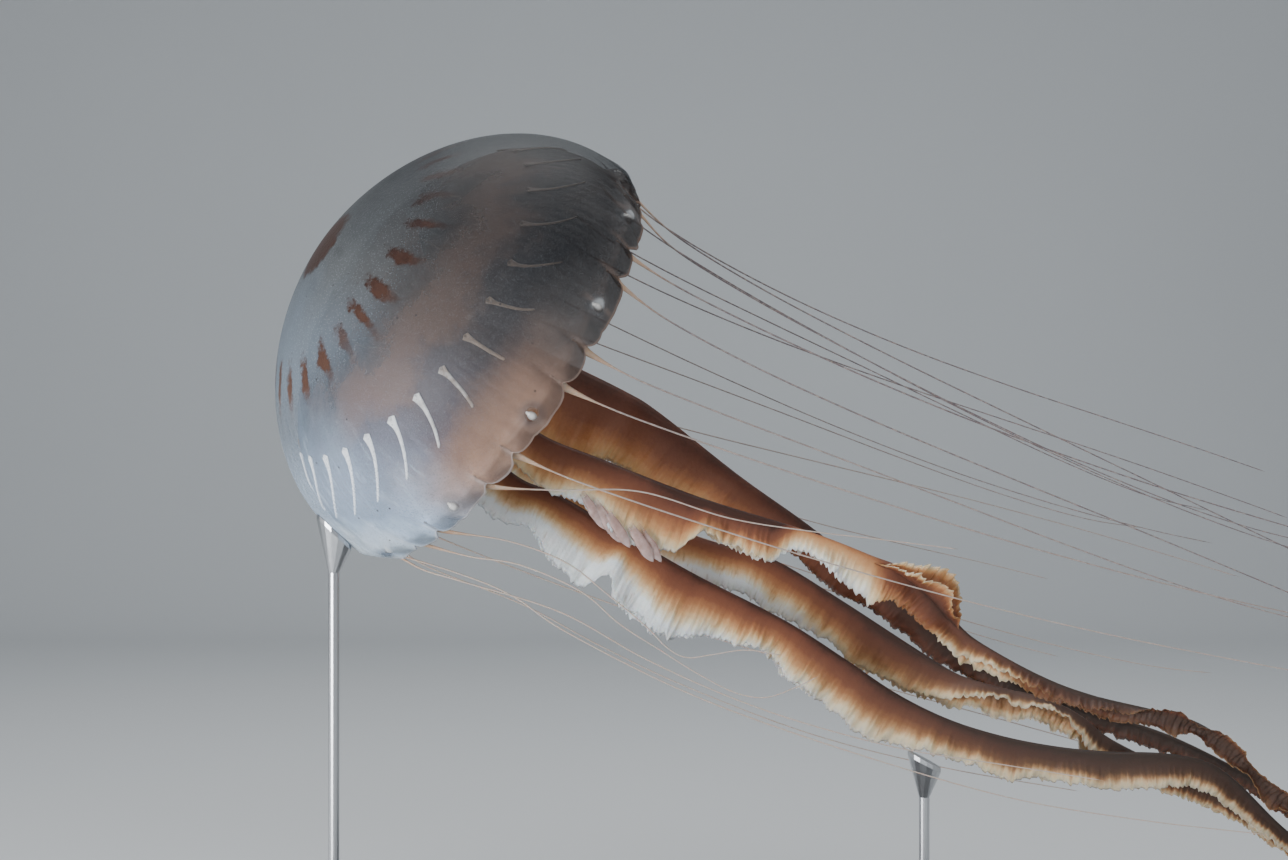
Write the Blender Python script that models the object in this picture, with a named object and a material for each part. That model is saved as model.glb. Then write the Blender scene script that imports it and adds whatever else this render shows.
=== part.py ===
"""Sea nettle jellyfish, life-size and whole, held in its swimming pose by a plain display stand.

Metres, +Z up. The arms stream towards +X, and the back of the animal looks towards +Y.
The origin is the middle of the stand base's underside.
"""
import math

import bmesh
import bpy
from mathutils import Matrix, Vector

MM = 0.001
GAP = 0.3 * MM  # clear space between pieces that touch

# The bell hangs from its crown, with its mouth dipped below level and turned to the back.
CROWN_AT = Vector((-0.202, -0.026, 0.456))
MOUTH_DIP = math.radians(34.5)
MOUTH_TURN = math.radians(21.0)

# Bell: a dome down to its girth, then a short skirt that draws in to the lappets' tips.
BELL_RADIUS = 0.150
GIRTH_DEPTH = 0.119
TIP_DEPTH = 0.143
DOME_POWER = 1.9
SKIRT_FALL = 0.100
CAVITY_TOP = 0.024
CAVITY_RADIUS = 0.1435
RIM_DEPTH = 0.125
BELL_SEGMENTS = 32
OUTER_STEPS = 9
INNER_STEPS = 7

# Margin: twelve sectors, each with one sense organ, two tentacles and three lappets.
SECTORS = 12
CLEFTS_PER_SECTOR = 3
FIRST_ORGAN = math.radians(4.5)
CLEFT_ANGLE = math.tau / (SECTORS * CLEFTS_PER_SECTOR)
LAPPET_STRIPS = 6
LAPPET_CELLS = 4
LAPPET_THICK = 2.4 * MM
LAPPET_EDGE = 1.0 * MM
ORGAN_CLEFT = 0.1310
TENTACLE_CLEFT = 0.1365
SCALLOP_POWER = 0.6

# Sense organs: small clubs under the lappets, each in its own cleft.
ORGAN_LENGTH = 8.0 * MM
ORGAN_RADIUS = 1.4 * MM
ORGAN_SIDES = 5

# Mouth stalk: flares from the cavity's top and narrows to the four arms.
STALK_END = 0.095
STALK_TOP_RADIUS = 0.052
STALK_END_RADIUS = 0.021
STALK_SIDES = 16
STALK_LOBE = 0.16
STALK_STEPS = 8

# Tentacles: a flat flared root, then a thread.
ROOT_INSET = LAPPET_THICK + GAP + 1.35 * MM
ROOT_HALF_WIDTH = 2.8 * MM
ROOT_HALF_THICK = 1.2 * MM
ROOT_FLARE = 0.020
THREAD_RADIUS = 0.85 * MM
THREAD_TIP = 0.35 * MM
THREAD_STATIONS = 12

# Arms: a folded ribbon, with its rib along the top edge and two wavy lips hanging from it.
RIB_HALF = 3.6 * MM
LIP_EDGE = 1.5 * MM
LIP_SPREAD = 10.0 * MM
LIP_WAVE = 3.2 * MM
WAVE_LENGTH = 0.047
RIB_SHARE = 0.36
FOLD_SHARE = 0.54
TIP_SLIM = 0.45
OPENING_SHARE = 0.10
HEM_WAVE = 0.08
ARM_SPACING = 0.0155
ARM_MIDDLE = 0.050
ARM_GATHER = 0.68
ARM_SWAY = 0.013
ARM_SWAY_TURN = 7.0
ARM_PARTS = (("root", 0.0, 0.34), ("middle", 0.34, 0.66), ("tip", 0.66, 1.0))

# Rib routes from the mouth stalk out, and each arm's depth (rib and lips together) by share of length.
ARMS = {
    "arm_1": {  # near side, upper
        "route": [
            (-0.115, 0.000, 0.407), (-0.104, -0.005, 0.387), (-0.088, -0.010, 0.361),
            (-0.066, -0.012, 0.338), (-0.028, -0.012, 0.322), (0.036, -0.012, 0.297),
            (0.093, -0.010, 0.279), (0.122, -0.010, 0.269), (0.147, -0.010, 0.259),
            (0.167, -0.010, 0.251), (0.184, -0.010, 0.237), (0.199, -0.010, 0.219),
            (0.217, -0.010, 0.203), (0.265, -0.010, 0.178), (0.322, -0.010, 0.161),
            (0.348, -0.010, 0.154), (0.367, -0.010, 0.143), (0.385, -0.010, 0.127),
            (0.410, -0.010, 0.104), (0.447, -0.010, 0.086), (0.501, -0.010, 0.080),
        ],
        "depth": (
            (0, 11), (0.10, 22), (0.16, 31), (0.21, 41), (0.262, 38), (0.29, 22), (0.343, 25), (0.372, 15),
            (0.443, 26), (0.50, 20), (0.585, 12), (0.72, 9), (0.9, 9), (1, 4),
        ),
    },
    "arm_2": {  # near side, lower
        "route": [
            (-0.125, 0.001, 0.389), (-0.119, 0.009, 0.370), (-0.110, 0.020, 0.343),
            (-0.096, 0.028, 0.321), (-0.079, 0.030, 0.307), (-0.055, 0.030, 0.297),
            (-0.003, 0.030, 0.266), (0.037, 0.030, 0.243), (0.076, 0.030, 0.223),
            (0.103, 0.030, 0.208), (0.135, 0.030, 0.187), (0.168, 0.030, 0.165),
            (0.201, 0.030, 0.149), (0.234, 0.030, 0.139), (0.267, 0.030, 0.133),
            (0.300, 0.030, 0.130), (0.339, 0.030, 0.129), (0.366, 0.030, 0.124),
            (0.387, 0.030, 0.111), (0.425, 0.030, 0.075), (0.461, 0.030, 0.057),
            (0.514, 0.030, 0.051),
        ],
        "depth": ((0, 11), (0.14, 30), (0.26, 46), (0.37, 28), (0.46, 34), (0.56, 24), (0.70, 22), (0.9, 12), (1, 4)),
    },
    "arm_3": {  # far side, lower
        "route": [
            (-0.136, 0.018, 0.397), (-0.124, 0.035, 0.382), (-0.107, 0.055, 0.359),
            (-0.084, 0.068, 0.333), (-0.057, 0.070, 0.314), (0.004, 0.070, 0.282),
            (0.038, 0.070, 0.267), (0.065, 0.070, 0.259), (0.092, 0.070, 0.250),
            (0.133, 0.070, 0.225), (0.187, 0.070, 0.190), (0.214, 0.070, 0.174),
            (0.241, 0.070, 0.165), (0.269, 0.070, 0.159), (0.292, 0.070, 0.148),
            (0.313, 0.070, 0.133), (0.343, 0.070, 0.118), (0.377, 0.070, 0.104),
            (0.407, 0.070, 0.084), (0.438, 0.070, 0.063), (0.479, 0.070, 0.049),
            (0.526, 0.070, 0.045),
        ],
        "depth": ((0, 11), (0.14, 26), (0.30, 30), (0.50, 30), (0.60, 22), (0.70, 15), (0.9, 10), (1, 4)),
    },
    "arm_4": {  # far side, upper
        "route": [
            (-0.124, 0.020, 0.414), (-0.107, 0.050, 0.411), (-0.085, 0.080, 0.402),
            (-0.058, 0.102, 0.389), (-0.013, 0.110, 0.367), (0.011, 0.110, 0.352),
            (0.067, 0.110, 0.308), (0.116, 0.110, 0.273), (0.172, 0.110, 0.229),
            (0.200, 0.110, 0.204), (0.228, 0.110, 0.183), (0.263, 0.110, 0.165),
            (0.304, 0.110, 0.149), (0.360, 0.110, 0.131), (0.416, 0.110, 0.103),
            (0.451, 0.110, 0.080), (0.493, 0.110, 0.061), (0.542, 0.110, 0.054),
        ],
        "depth": (
            (0, 11), (0.09, 46), (0.15, 57), (0.20, 55), (0.26, 42), (0.36, 27), (0.60, 14), (0.9, 9), (1, 4),
        ),
    },
}

# Tentacles that leave the common stream, by number; the root itself is added in front.
SPECIAL_ROUTES = {
    2: [
        (-0.050, -0.088, 0.304), (-0.002, -0.085, 0.303), (0.051, -0.080, 0.287),
        (0.100, -0.078, 0.279), (0.142, -0.076, 0.274), (0.190, -0.076, 0.268),
    ],
    3: [
        (-0.082, -0.063, 0.272), (-0.048, -0.060, 0.259), (-0.023, -0.060, 0.240),
        (0.001, -0.060, 0.220), (0.014, -0.061, 0.207), (0.026, -0.062, 0.201),
        (0.042, -0.064, 0.203), (0.062, -0.066, 0.206), (0.084, -0.067, 0.203),
    ],
    4: [
        (-0.107, -0.052, 0.262), (-0.076, -0.055, 0.257), (-0.039, -0.056, 0.241),
        (-0.015, -0.057, 0.221), (0.010, -0.058, 0.205), (0.034, -0.058, 0.190),
        (0.056, -0.058, 0.179), (0.074, -0.058, 0.176), (0.090, -0.058, 0.181),
        (0.107, -0.058, 0.189),
    ],
    5: [
        (-0.140, -0.013, 0.251), (-0.115, -0.018, 0.244), (-0.053, -0.021, 0.225),
        (-0.002, -0.022, 0.197), (0.048, -0.022, 0.174), (0.098, -0.022, 0.156),
        (0.162, -0.022, 0.139), (0.225, -0.022, 0.129), (0.290, -0.024, 0.119),
    ],
    6: [
        (-0.115, 0.004, 0.246), (-0.083, -0.004, 0.233), (-0.049, -0.010, 0.211),
        (0.028, -0.015, 0.173), (0.116, -0.018, 0.141), (0.225, -0.020, 0.109),
        (0.310, -0.020, 0.094), (0.395, -0.020, 0.084),
    ],
    7: [
        (-0.150, 0.062, 0.250), (-0.083, 0.070, 0.222), (-0.030, 0.077, 0.193),
        (0.030, 0.082, 0.164), (0.116, 0.086, 0.131), (0.205, 0.090, 0.108),
        (0.300, 0.092, 0.091),
    ],
}

# The common stream: upper tentacles first draw in across the mouth, then all level out.
STREAM_REACH = 0.55
REACH_CHANGE = 0.07
STREAM_DIP = math.radians(17.0)
UPPER_DIP = math.radians(8.0)
DIP_CHANGE = math.radians(1.8)
INWARD_DRAW = 0.45
LEAVING_PULL = 0.17
ARRIVING_PULL = 0.30
ARRIVING_DIP = math.radians(11.0)
DRIFT = 0.048
SWAY = 0.007
STREAM_STEPS = 8
FLARE_POWER = 1.6

# Stand: a flat base, and two rods with a pad each.
BASE_SIZE = (0.54, 0.26, 0.012)
BASE_CORNER = 0.030
BASE_BEVEL = 0.002
ROD_RADIUS = 3.5 * MM
COLLAR_RADIUS = 11.0 * MM
COLLAR_HEIGHT = 7.0 * MM
PAD_RADIUS = 11.0 * MM
PAD_HEIGHT = 6.0 * MM
PAD_CLEAR = 0.6 * MM
ROD_SIDES = 16
BELL_ROD_AZIMUTH = math.radians(80.0)
BELL_ROD_DEPTH = 0.104
ARM_ROD_AT = (0.186, 0.042)
ARM_ROD_SLOPE = -0.52


# ---------------------------------------------------------------- general tools

def clear_scene():
    for thing in list(bpy.data.objects):
        bpy.data.objects.remove(thing, do_unlink=True)


def plain_material(name, colour, roughness, metallic=0.0):
    material = bpy.data.materials.new(name)
    material.use_nodes = True
    shader = material.node_tree.nodes["Principled BSDF"]
    shader.inputs["Base Color"].default_value = (*colour, 1.0)
    shader.inputs["Roughness"].default_value = roughness
    shader.inputs["Metallic"].default_value = metallic
    return material


def finish_object(name, bm, material, parent=None):
    """Turns a bmesh into a named, smooth-shaded object."""
    bmesh.ops.recalc_face_normals(bm, faces=bm.faces)
    mesh = bpy.data.meshes.new(name)
    bm.to_mesh(mesh)
    bm.free()
    mesh.shade_smooth()
    mesh.set_sharp_from_angle(angle=math.radians(40))
    mesh.materials.append(material)
    thing = bpy.data.objects.new(name, mesh)
    bpy.context.scene.collection.objects.link(thing)
    thing.parent = parent
    return thing


def loft(rings, first_tip=None, last_tip=None):
    """A closed body through rings of equal count; each end is a cap, or a fan to a tip point."""
    bm = bmesh.new()
    loops = [[bm.verts.new(point) for point in ring] for ring in rings]
    count = len(rings[0])
    for lower, upper in zip(loops, loops[1:]):
        for i in range(count):
            j = (i + 1) % count
            bm.faces.new((lower[i], lower[j], upper[j], upper[i]))
    for loop, tip in ((loops[0], first_tip), (loops[-1], last_tip)):
        if tip is None:
            bm.faces.new(loop)
            continue
        top = bm.verts.new(tip)
        for i in range(count):
            bm.faces.new((loop[i], loop[(i + 1) % count], top))
    return bm


def lerp(a, b, t):
    return a + (b - a) * t


def smooth_step(t):
    t = min(max(t, 0.0), 1.0)
    return t * t * (3.0 - 2.0 * t)


class Route:
    """A smooth curve through points, read by distance along it."""

    FINE_STEPS = 12

    def __init__(self, points):
        points = [Vector(point) for point in points]
        before = points[0] * 2 - points[1]
        after = points[-1] * 2 - points[-2]
        padded = [before, *points, after]
        self.fine = [points[0]]
        for a, b, c, d in zip(padded, padded[1:], padded[2:], padded[3:]):
            for step in range(1, self.FINE_STEPS + 1):
                t = step / self.FINE_STEPS
                self.fine.append(0.5 * (
                    2 * b + (c - a) * t + (2 * a - 5 * b + 4 * c - d) * t * t
                    + (3 * b - a - 3 * c + d) * t ** 3
                ))
        self.along = [0.0]
        for a, b in zip(self.fine, self.fine[1:]):
            self.along.append(self.along[-1] + (b - a).length)
        self.length = self.along[-1]

    def at(self, distance):
        distance = min(max(distance, 0.0), self.length)
        for i in range(1, len(self.along)):
            if distance <= self.along[i]:
                break
        share = (distance - self.along[i - 1]) / (self.along[i] - self.along[i - 1])
        return self.fine[i - 1].lerp(self.fine[i], share)

    def tangent(self, distance):
        reach = 0.004
        return (self.at(distance + reach) - self.at(distance - reach)).normalized()


# ---------------------------------------------------------------- bell and margin

def bell_pose():
    """Columns: towards the viewer, towards the lower side, out of the mouth; origin at the crown."""
    mouth = Vector((
        math.cos(MOUTH_TURN) * math.cos(MOUTH_DIP),
        math.sin(MOUTH_TURN),
        -math.cos(MOUTH_TURN) * math.sin(MOUTH_DIP),
    ))
    viewer = Vector((0, -1, 0))
    near = (viewer - mouth * viewer.dot(mouth)).normalized()
    lower = mouth.cross(near)
    turn = Matrix((near, lower, mouth)).transposed()
    return Matrix.Translation(CROWN_AT) @ turn.to_4x4()


def outer_radius(depth):
    """The bell's outer radius at a depth below its crown."""
    if depth < GIRTH_DEPTH:
        rise = (GIRTH_DEPTH - depth) / GIRTH_DEPTH
        return BELL_RADIUS * (1 - rise ** DOME_POWER) ** (1 / DOME_POWER)
    return BELL_RADIUS * math.sqrt(1 - ((depth - GIRTH_DEPTH) / SKIRT_FALL) ** 2)


def bell_point(depth, azimuth, inset=0.0):
    radius = outer_radius(depth) - inset
    return Vector((radius * math.cos(azimuth), radius * math.sin(azimuth), depth))


def make_bell(parent, material):
    """One wall: crown, outside, rim and cavity, turned about the bell's axis."""
    profile = []
    for step in range(OUTER_STEPS + 1):
        rise = math.cos(step / OUTER_STEPS * math.pi / 2)
        depth = GIRTH_DEPTH * (1 - rise)
        profile.append((outer_radius(depth), depth))
    profile.append((outer_radius(RIM_DEPTH), RIM_DEPTH))
    profile.append((CAVITY_RADIUS, RIM_DEPTH))
    for step in range(INNER_STEPS + 1):
        angle = (1 - step / INNER_STEPS) * math.pi / 2
        depth = lerp(GIRTH_DEPTH, CAVITY_TOP, math.cos(angle))
        profile.append((CAVITY_RADIUS * math.sin(angle), depth))
    bm = bmesh.new()
    points = [bm.verts.new((radius, 0, depth)) for radius, depth in profile]
    edges = [bm.edges.new(pair) for pair in zip(points, points[1:])]
    bmesh.ops.spin(
        bm, geom=points + edges, cent=(0, 0, 0), axis=(0, 0, 1), angle=math.tau,
        steps=BELL_SEGMENTS, use_merge=True,
    )
    bmesh.ops.remove_doubles(bm, verts=bm.verts, dist=0.01 * MM)
    bmesh.ops.dissolve_degenerate(bm, edges=bm.edges, dist=0.001 * MM)
    return finish_object("bell", bm, material, parent)


def cleft_depth(number):
    return ORGAN_CLEFT if number % CLEFTS_PER_SECTOR == 0 else TENTACLE_CLEFT


def lappet_edge(place):
    """Depth of the scalloped edge; place counts clefts round the margin from the first organ."""
    number = math.floor(place + 1e-6)
    share = min(max(place - number, 0.0), 1.0)
    cleft = lerp(cleft_depth(number), cleft_depth(number + 1), share)
    return lerp(cleft, TIP_DEPTH, math.sin(math.pi * share) ** SCALLOP_POWER)


def make_lappets(parent, material):
    """Strips of scalloped flaps that carry the bell's outside on to the margin."""
    top = RIM_DEPTH + GAP
    per_strip = SECTORS * CLEFTS_PER_SECTOR // LAPPET_STRIPS
    cells = per_strip * LAPPET_CELLS
    side_gap = GAP / 2 / BELL_RADIUS
    for strip in range(LAPPET_STRIPS):
        rings = []
        for cell in range(cells + 1):
            place = strip * per_strip + cell / LAPPET_CELLS
            azimuth = FIRST_ORGAN + place * CLEFT_ANGLE
            if cell == 0:
                azimuth += side_gap
            if cell == cells:
                azimuth -= side_gap
            edge = lappet_edge(place)
            middle = lerp(top, edge, 0.5)
            rings.append([
                bell_point(top, azimuth),
                bell_point(middle, azimuth),
                bell_point(edge, azimuth, 0.3 * MM),
                bell_point(edge, azimuth, 0.3 * MM + LAPPET_EDGE),
                bell_point(middle, azimuth, 0.85 * LAPPET_THICK),
                bell_point(top, azimuth, LAPPET_THICK),
            ])
        finish_object(f"lappets_{strip + 1}", loft(rings), material, parent)


def make_sense_organs(parent, material):
    """A club on a short stem at every third cleft."""
    shape = ((0.0, 0.55), (0.35, 0.65), (0.62, 1.0), (0.85, 0.75))
    for number in range(SECTORS):
        azimuth = FIRST_ORGAN + number * CLEFTS_PER_SECTOR * CLEFT_ANGLE
        outward = Vector((math.cos(azimuth), math.sin(azimuth), 0))
        sideways = Vector((-math.sin(azimuth), math.cos(azimuth), 0))
        rings = []
        for share, width in shape:
            depth = RIM_DEPTH + GAP + ORGAN_LENGTH * share
            middle = bell_point(depth, azimuth, ROOT_INSET)
            radius = ORGAN_RADIUS * width * 0.9
            rings.append([
                middle + outward * radius * math.cos(turn) + sideways * radius * math.sin(turn)
                for turn in (math.tau * side / ORGAN_SIDES for side in range(ORGAN_SIDES))
            ])
        end = bell_point(RIM_DEPTH + GAP + ORGAN_LENGTH, azimuth, ROOT_INSET)
        body = loft(rings, last_tip=end)
        finish_object(f"sense_organ_{number + 1:02d}", body, material, parent)


def make_mouth_stalk(parent, material):
    """A four-lobed stalk that hangs from the cavity's top."""
    rings = []
    for step in range(STALK_STEPS + 1):
        share = step / STALK_STEPS
        swell = (1 - share) ** 2.2
        radius = lerp(STALK_END_RADIUS, STALK_TOP_RADIUS, swell)
        ceiling = 1 - math.sqrt(1 - (radius * (1 + STALK_LOBE) / CAVITY_RADIUS) ** 2)
        highest = lerp(CAVITY_TOP, GIRTH_DEPTH, ceiling) + 4 * GAP
        depth = lerp(highest, STALK_END, share)
        ring = []
        for side in range(STALK_SIDES):
            azimuth = math.tau * side / STALK_SIDES
            lobe = 1 + STALK_LOBE * math.cos(4 * (azimuth - math.pi / 4))
            ring.append((radius * lobe * math.cos(azimuth), radius * lobe * math.sin(azimuth), depth))
        rings.append(ring)
    crown = Vector((0, 0, CAVITY_TOP + 2 * GAP))
    finish_object("mouth_stalk", loft(rings, first_tip=crown), material, parent)


# ---------------------------------------------------------------- arms

def arm_depth(depths, share):
    """Rib and lips together, in metres, eased between the arm's own depths."""
    for (start, before), (end, after) in zip(depths, depths[1:]):
        if share <= end:
            break
    return lerp(before, after, smooth_step((share - start) / (end - start))) * MM


def arm_ring(route, depths, distance, phase):
    """Nine corners: the rib's top and shoulders, then a lip either side of the fold."""
    share = distance / route.length
    forward = route.tangent(distance)
    down = Vector((0, 0, -1))
    down = (down - forward * down.dot(forward)).normalized()
    across = forward.cross(down)
    full = arm_depth(depths, share)
    slim = lerp(1.0, TIP_SLIM, share)
    rib = RIB_SHARE * full
    opening = smooth_step(share / OPENING_SHARE)
    half = RIB_HALF * slim * lerp(0.8, 1.0, opening)
    spread = LIP_SPREAD * slim * lerp(0.25, 1.0, opening)
    wave = LIP_WAVE * slim * opening
    turn = math.tau * distance / WAVE_LENGTH + phase
    near_edge = spread + wave * math.sin(turn)
    far_edge = spread + wave * math.sin(turn * 1.13 + 2.0)
    near_drop = full * (1 + HEM_WAVE * math.sin(turn * 0.61))
    far_drop = full * (1 + HEM_WAVE * math.sin(turn * 0.57 + 1.5))
    edge = LIP_EDGE * lerp(1.0, 0.6, share)
    corners = (
        (0.0, 0.6 * half),
        (rib, half),
        (near_drop, near_edge),
        (near_drop, near_edge - edge),
        (FOLD_SHARE * full, 0.0),
        (far_drop, edge - far_edge),
        (far_drop, -far_edge),
        (rib, -half),
        (0.0, -0.6 * half),
    )
    middle = route.at(distance)
    return [middle + down * drop - across * side for drop, side in corners]


def arm_route(points):
    """The rib's route: past the bell the arms draw together and sway from side to side."""
    swayed = []
    for point in points:
        x, y, z = point
        trail = max(0.0, x / points[-1][0])
        y = ARM_MIDDLE + (y - ARM_MIDDLE) * lerp(1.0, ARM_GATHER, trail)
        swayed.append((x, y + ARM_SWAY * math.sin(ARM_SWAY_TURN * trail), z))
    return Route(swayed)


def make_arms(material):
    arms = {}
    for number, (name, plan) in enumerate(ARMS.items()):
        route = arm_route(plan["route"])
        for part, start, end in ARM_PARTS:
            first = start * route.length + GAP / 2
            last = end * route.length - GAP / 2
            count = max(4, round((last - first) / ARM_SPACING))
            rings = [
                arm_ring(route, plan["depth"], lerp(first, last, i / count), number * 1.7)
                for i in range(count + 1)
            ]
            key = f"{name}_{part}"
            arms[key] = finish_object(key, loft(rings), material)
    return arms


# ---------------------------------------------------------------- tentacles

def stream_points(root, pose, azimuth, number):
    """The common stream: out along the bell's axis, then level with the drift."""
    upper = max(0.0, -math.sin(azimuth))
    reach = STREAM_REACH + REACH_CHANGE * math.sin(2.7 * number)
    dip = STREAM_DIP + UPPER_DIP * upper + DIP_CHANGE * math.sin(4.1 * number)
    end = root + Vector((reach * math.cos(dip), DRIFT, -reach * math.sin(dip)))
    draw = INWARD_DRAW * upper * (1 + 0.5 * math.sin(2.3 * number))
    leaving = Vector((-draw * math.cos(azimuth), -draw * math.sin(azimuth), 1)).normalized()
    leaving = pose.to_3x3() @ leaving * LEAVING_PULL
    arriving = Vector((math.cos(ARRIVING_DIP), 0, -math.sin(ARRIVING_DIP))) * ARRIVING_PULL
    points = []
    for step in range(1, STREAM_STEPS + 1):
        t = step / STREAM_STEPS
        point = (
            root * (2 * t ** 3 - 3 * t * t + 1) + leaving * (t ** 3 - 2 * t * t + t)
            + end * (3 * t * t - 2 * t ** 3) + arriving * (t ** 3 - t * t)
        )
        point.z += SWAY * t * math.sin(6.5 * t + 1.9 * number)
        point.y += SWAY * t * 0.5 * math.cos(5.0 * t + 1.3 * number)
        points.append(point)
    return points


def tentacle_ring(route, distance, sideways):
    """Four corners: wide and flat at the root, a round thread past the flare."""
    share = distance / route.length
    flare = (1 - min(distance / ROOT_FLARE, 1.0)) ** FLARE_POWER
    thread = lerp(THREAD_RADIUS, THREAD_TIP, share)
    half_width = lerp(thread, ROOT_HALF_WIDTH, flare)
    half_thick = lerp(thread, ROOT_HALF_THICK, flare)
    forward = route.tangent(distance)
    side = (sideways - forward * sideways.dot(forward)).normalized()
    over = forward.cross(side)
    middle = route.at(distance)
    return [
        middle + side * half_width, middle + over * half_thick,
        middle - side * half_width, middle - over * half_thick,
    ]


def make_tentacles(pose, material):
    number = 0
    for cleft in range(SECTORS * CLEFTS_PER_SECTOR):
        if cleft % CLEFTS_PER_SECTOR == 0:
            continue
        number += 1
        azimuth = FIRST_ORGAN + cleft * CLEFT_ANGLE
        sideways = pose.to_3x3() @ Vector((-math.sin(azimuth), math.cos(azimuth), 0))
        under_lappets = [
            pose @ bell_point(depth, azimuth, ROOT_INSET)
            for depth in (RIM_DEPTH + GAP, lerp(RIM_DEPTH, TIP_DEPTH, 0.5), TIP_DEPTH)
        ]
        onward = SPECIAL_ROUTES.get(number)
        if onward is None:
            onward = stream_points(under_lappets[-1], pose, azimuth, number)
        route = Route(under_lappets + list(onward))
        rings = [
            tentacle_ring(route, route.length * (i / THREAD_STATIONS) ** FLARE_POWER, sideways)
            for i in range(THREAD_STATIONS + 1)
        ]
        finish_object(f"tentacle_{number:02d}", loft(rings), material)


# ---------------------------------------------------------------- stand

def make_base(material):
    bm = bmesh.new()
    bmesh.ops.create_cube(bm, size=1.0)
    bmesh.ops.scale(bm, vec=BASE_SIZE, verts=bm.verts)
    bmesh.ops.translate(bm, vec=(0, 0, BASE_SIZE[2] / 2), verts=bm.verts)
    upright = [e for e in bm.edges if abs(e.verts[0].co.z - e.verts[1].co.z) > MM]
    bmesh.ops.bevel(
        bm, geom=upright, offset=BASE_CORNER, segments=6, profile=0.5, affect="EDGES", material=-1,
    )
    top = [e for e in bm.edges if all(v.co.z > BASE_SIZE[2] - MM for v in e.verts)]
    bmesh.ops.bevel(
        bm, geom=top, offset=BASE_BEVEL, segments=2, profile=0.5, affect="EDGES", material=-1,
    )
    return finish_object("stand_base", bm, material)


def rod_rings(x, y, top_height):
    """Rings of one rod, from its collar on the base to its pad; top_height(x, y) shapes the pad."""
    foot = BASE_SIZE[2] + GAP
    highest = top_height(x, y)
    levels = [
        (foot, COLLAR_RADIUS), (foot + COLLAR_HEIGHT, COLLAR_RADIUS * 0.8),
        (foot + COLLAR_HEIGHT * 1.4, ROD_RADIUS), (highest - 4.2 * PAD_HEIGHT, ROD_RADIUS),
    ]
    circle = [
        (math.cos(math.tau * side / ROD_SIDES), math.sin(math.tau * side / ROD_SIDES))
        for side in range(ROD_SIDES)
    ]
    rings = [[(x + radius * c, y + radius * s, z) for c, s in circle] for z, radius in levels]
    pad = [(x + PAD_RADIUS * c, y + PAD_RADIUS * s) for c, s in circle]
    rings.append([(px, py, top_height(px, py) - PAD_HEIGHT * 0.5) for px, py in pad])
    rings.append([(px, py, top_height(px, py)) for px, py in pad])
    return rings, Vector((x, y, highest))


def make_bell_rod(pose, material):
    """Its pad follows the bell's underside."""
    to_bell = pose.inverted()
    target = pose @ bell_point(BELL_ROD_DEPTH, BELL_ROD_AZIMUTH)

    def under_bell(x, y):
        low, high = target.z - 0.06, target.z + 0.03
        for _ in range(40):
            middle = (low + high) / 2
            spot = to_bell @ Vector((x, y, middle))
            radius = math.hypot(spot.x, spot.y)
            if radius < outer_radius(spot.z) + PAD_CLEAR:
                high = middle
            else:
                low = middle
        return low

    rings, tip = rod_rings(target.x, target.y, under_bell)
    return finish_object("stand_rod_bell", loft(rings, last_tip=tip), material)


def make_arm_rod(arm, material):
    """Its pad lies along the lips of the lowest arm, just clear of them."""
    x, y = ARM_ROD_AT
    above = [
        vertex.co for vertex in arm.data.vertices
        if abs(vertex.co.x - x) < PAD_RADIUS + ARM_SPACING
    ]
    lowest = min(point.z - ARM_ROD_SLOPE * (point.x - x) for point in above) - GAP

    def under_arm(px, py):
        return lowest + ARM_ROD_SLOPE * (px - x)

    rings, tip = rod_rings(x, y, under_arm)
    return finish_object("stand_rod_arms", loft(rings, last_tip=tip), material)


# ---------------------------------------------------------------- the whole

def main():
    clear_scene()
    pose = bell_pose()
    hanger = bpy.data.objects.new("bell_pose", None)
    bpy.context.scene.collection.objects.link(hanger)
    hanger.matrix_world = pose

    make_bell(hanger, plain_material("bell_jelly", (0.46, 0.50, 0.56), 0.35))
    make_lappets(hanger, plain_material("lappet_jelly", (0.55, 0.52, 0.50), 0.35))
    make_sense_organs(hanger, plain_material("organ_white", (0.85, 0.86, 0.88), 0.4))
    make_mouth_stalk(hanger, plain_material("stalk_brown", (0.38, 0.22, 0.15), 0.45))
    arms = make_arms(plain_material("arm_brown", (0.36, 0.16, 0.09), 0.45))
    make_tentacles(pose, plain_material("tentacle_tan", (0.55, 0.42, 0.34), 0.4))

    metal = plain_material("stand_metal", (0.62, 0.62, 0.63), 0.35, 1.0)
    make_base(plain_material("stand_base_paint", (0.12, 0.12, 0.13), 0.5))
    make_bell_rod(pose, metal)
    make_arm_rod(arms["arm_2_middle"], metal)


main()
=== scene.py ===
from bisect import bisect_left
from math import atan2, cos, exp, hypot, pi, radians, sin, sqrt, tau

import bmesh
import bpy
from mathutils import Matrix, Vector, noise


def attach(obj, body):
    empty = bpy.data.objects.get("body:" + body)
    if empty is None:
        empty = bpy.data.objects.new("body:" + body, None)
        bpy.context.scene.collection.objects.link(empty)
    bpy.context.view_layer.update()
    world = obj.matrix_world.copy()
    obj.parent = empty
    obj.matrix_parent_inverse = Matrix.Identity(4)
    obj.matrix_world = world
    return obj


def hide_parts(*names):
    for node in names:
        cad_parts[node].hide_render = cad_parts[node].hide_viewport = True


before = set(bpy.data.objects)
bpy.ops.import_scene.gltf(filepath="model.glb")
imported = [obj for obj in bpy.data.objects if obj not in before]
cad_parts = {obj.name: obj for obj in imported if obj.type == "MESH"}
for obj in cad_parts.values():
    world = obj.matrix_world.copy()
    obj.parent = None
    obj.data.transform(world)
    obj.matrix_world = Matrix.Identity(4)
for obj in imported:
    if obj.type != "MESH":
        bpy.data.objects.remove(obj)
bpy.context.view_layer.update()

MM = 0.001
GAP = 0.3 * MM

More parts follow.
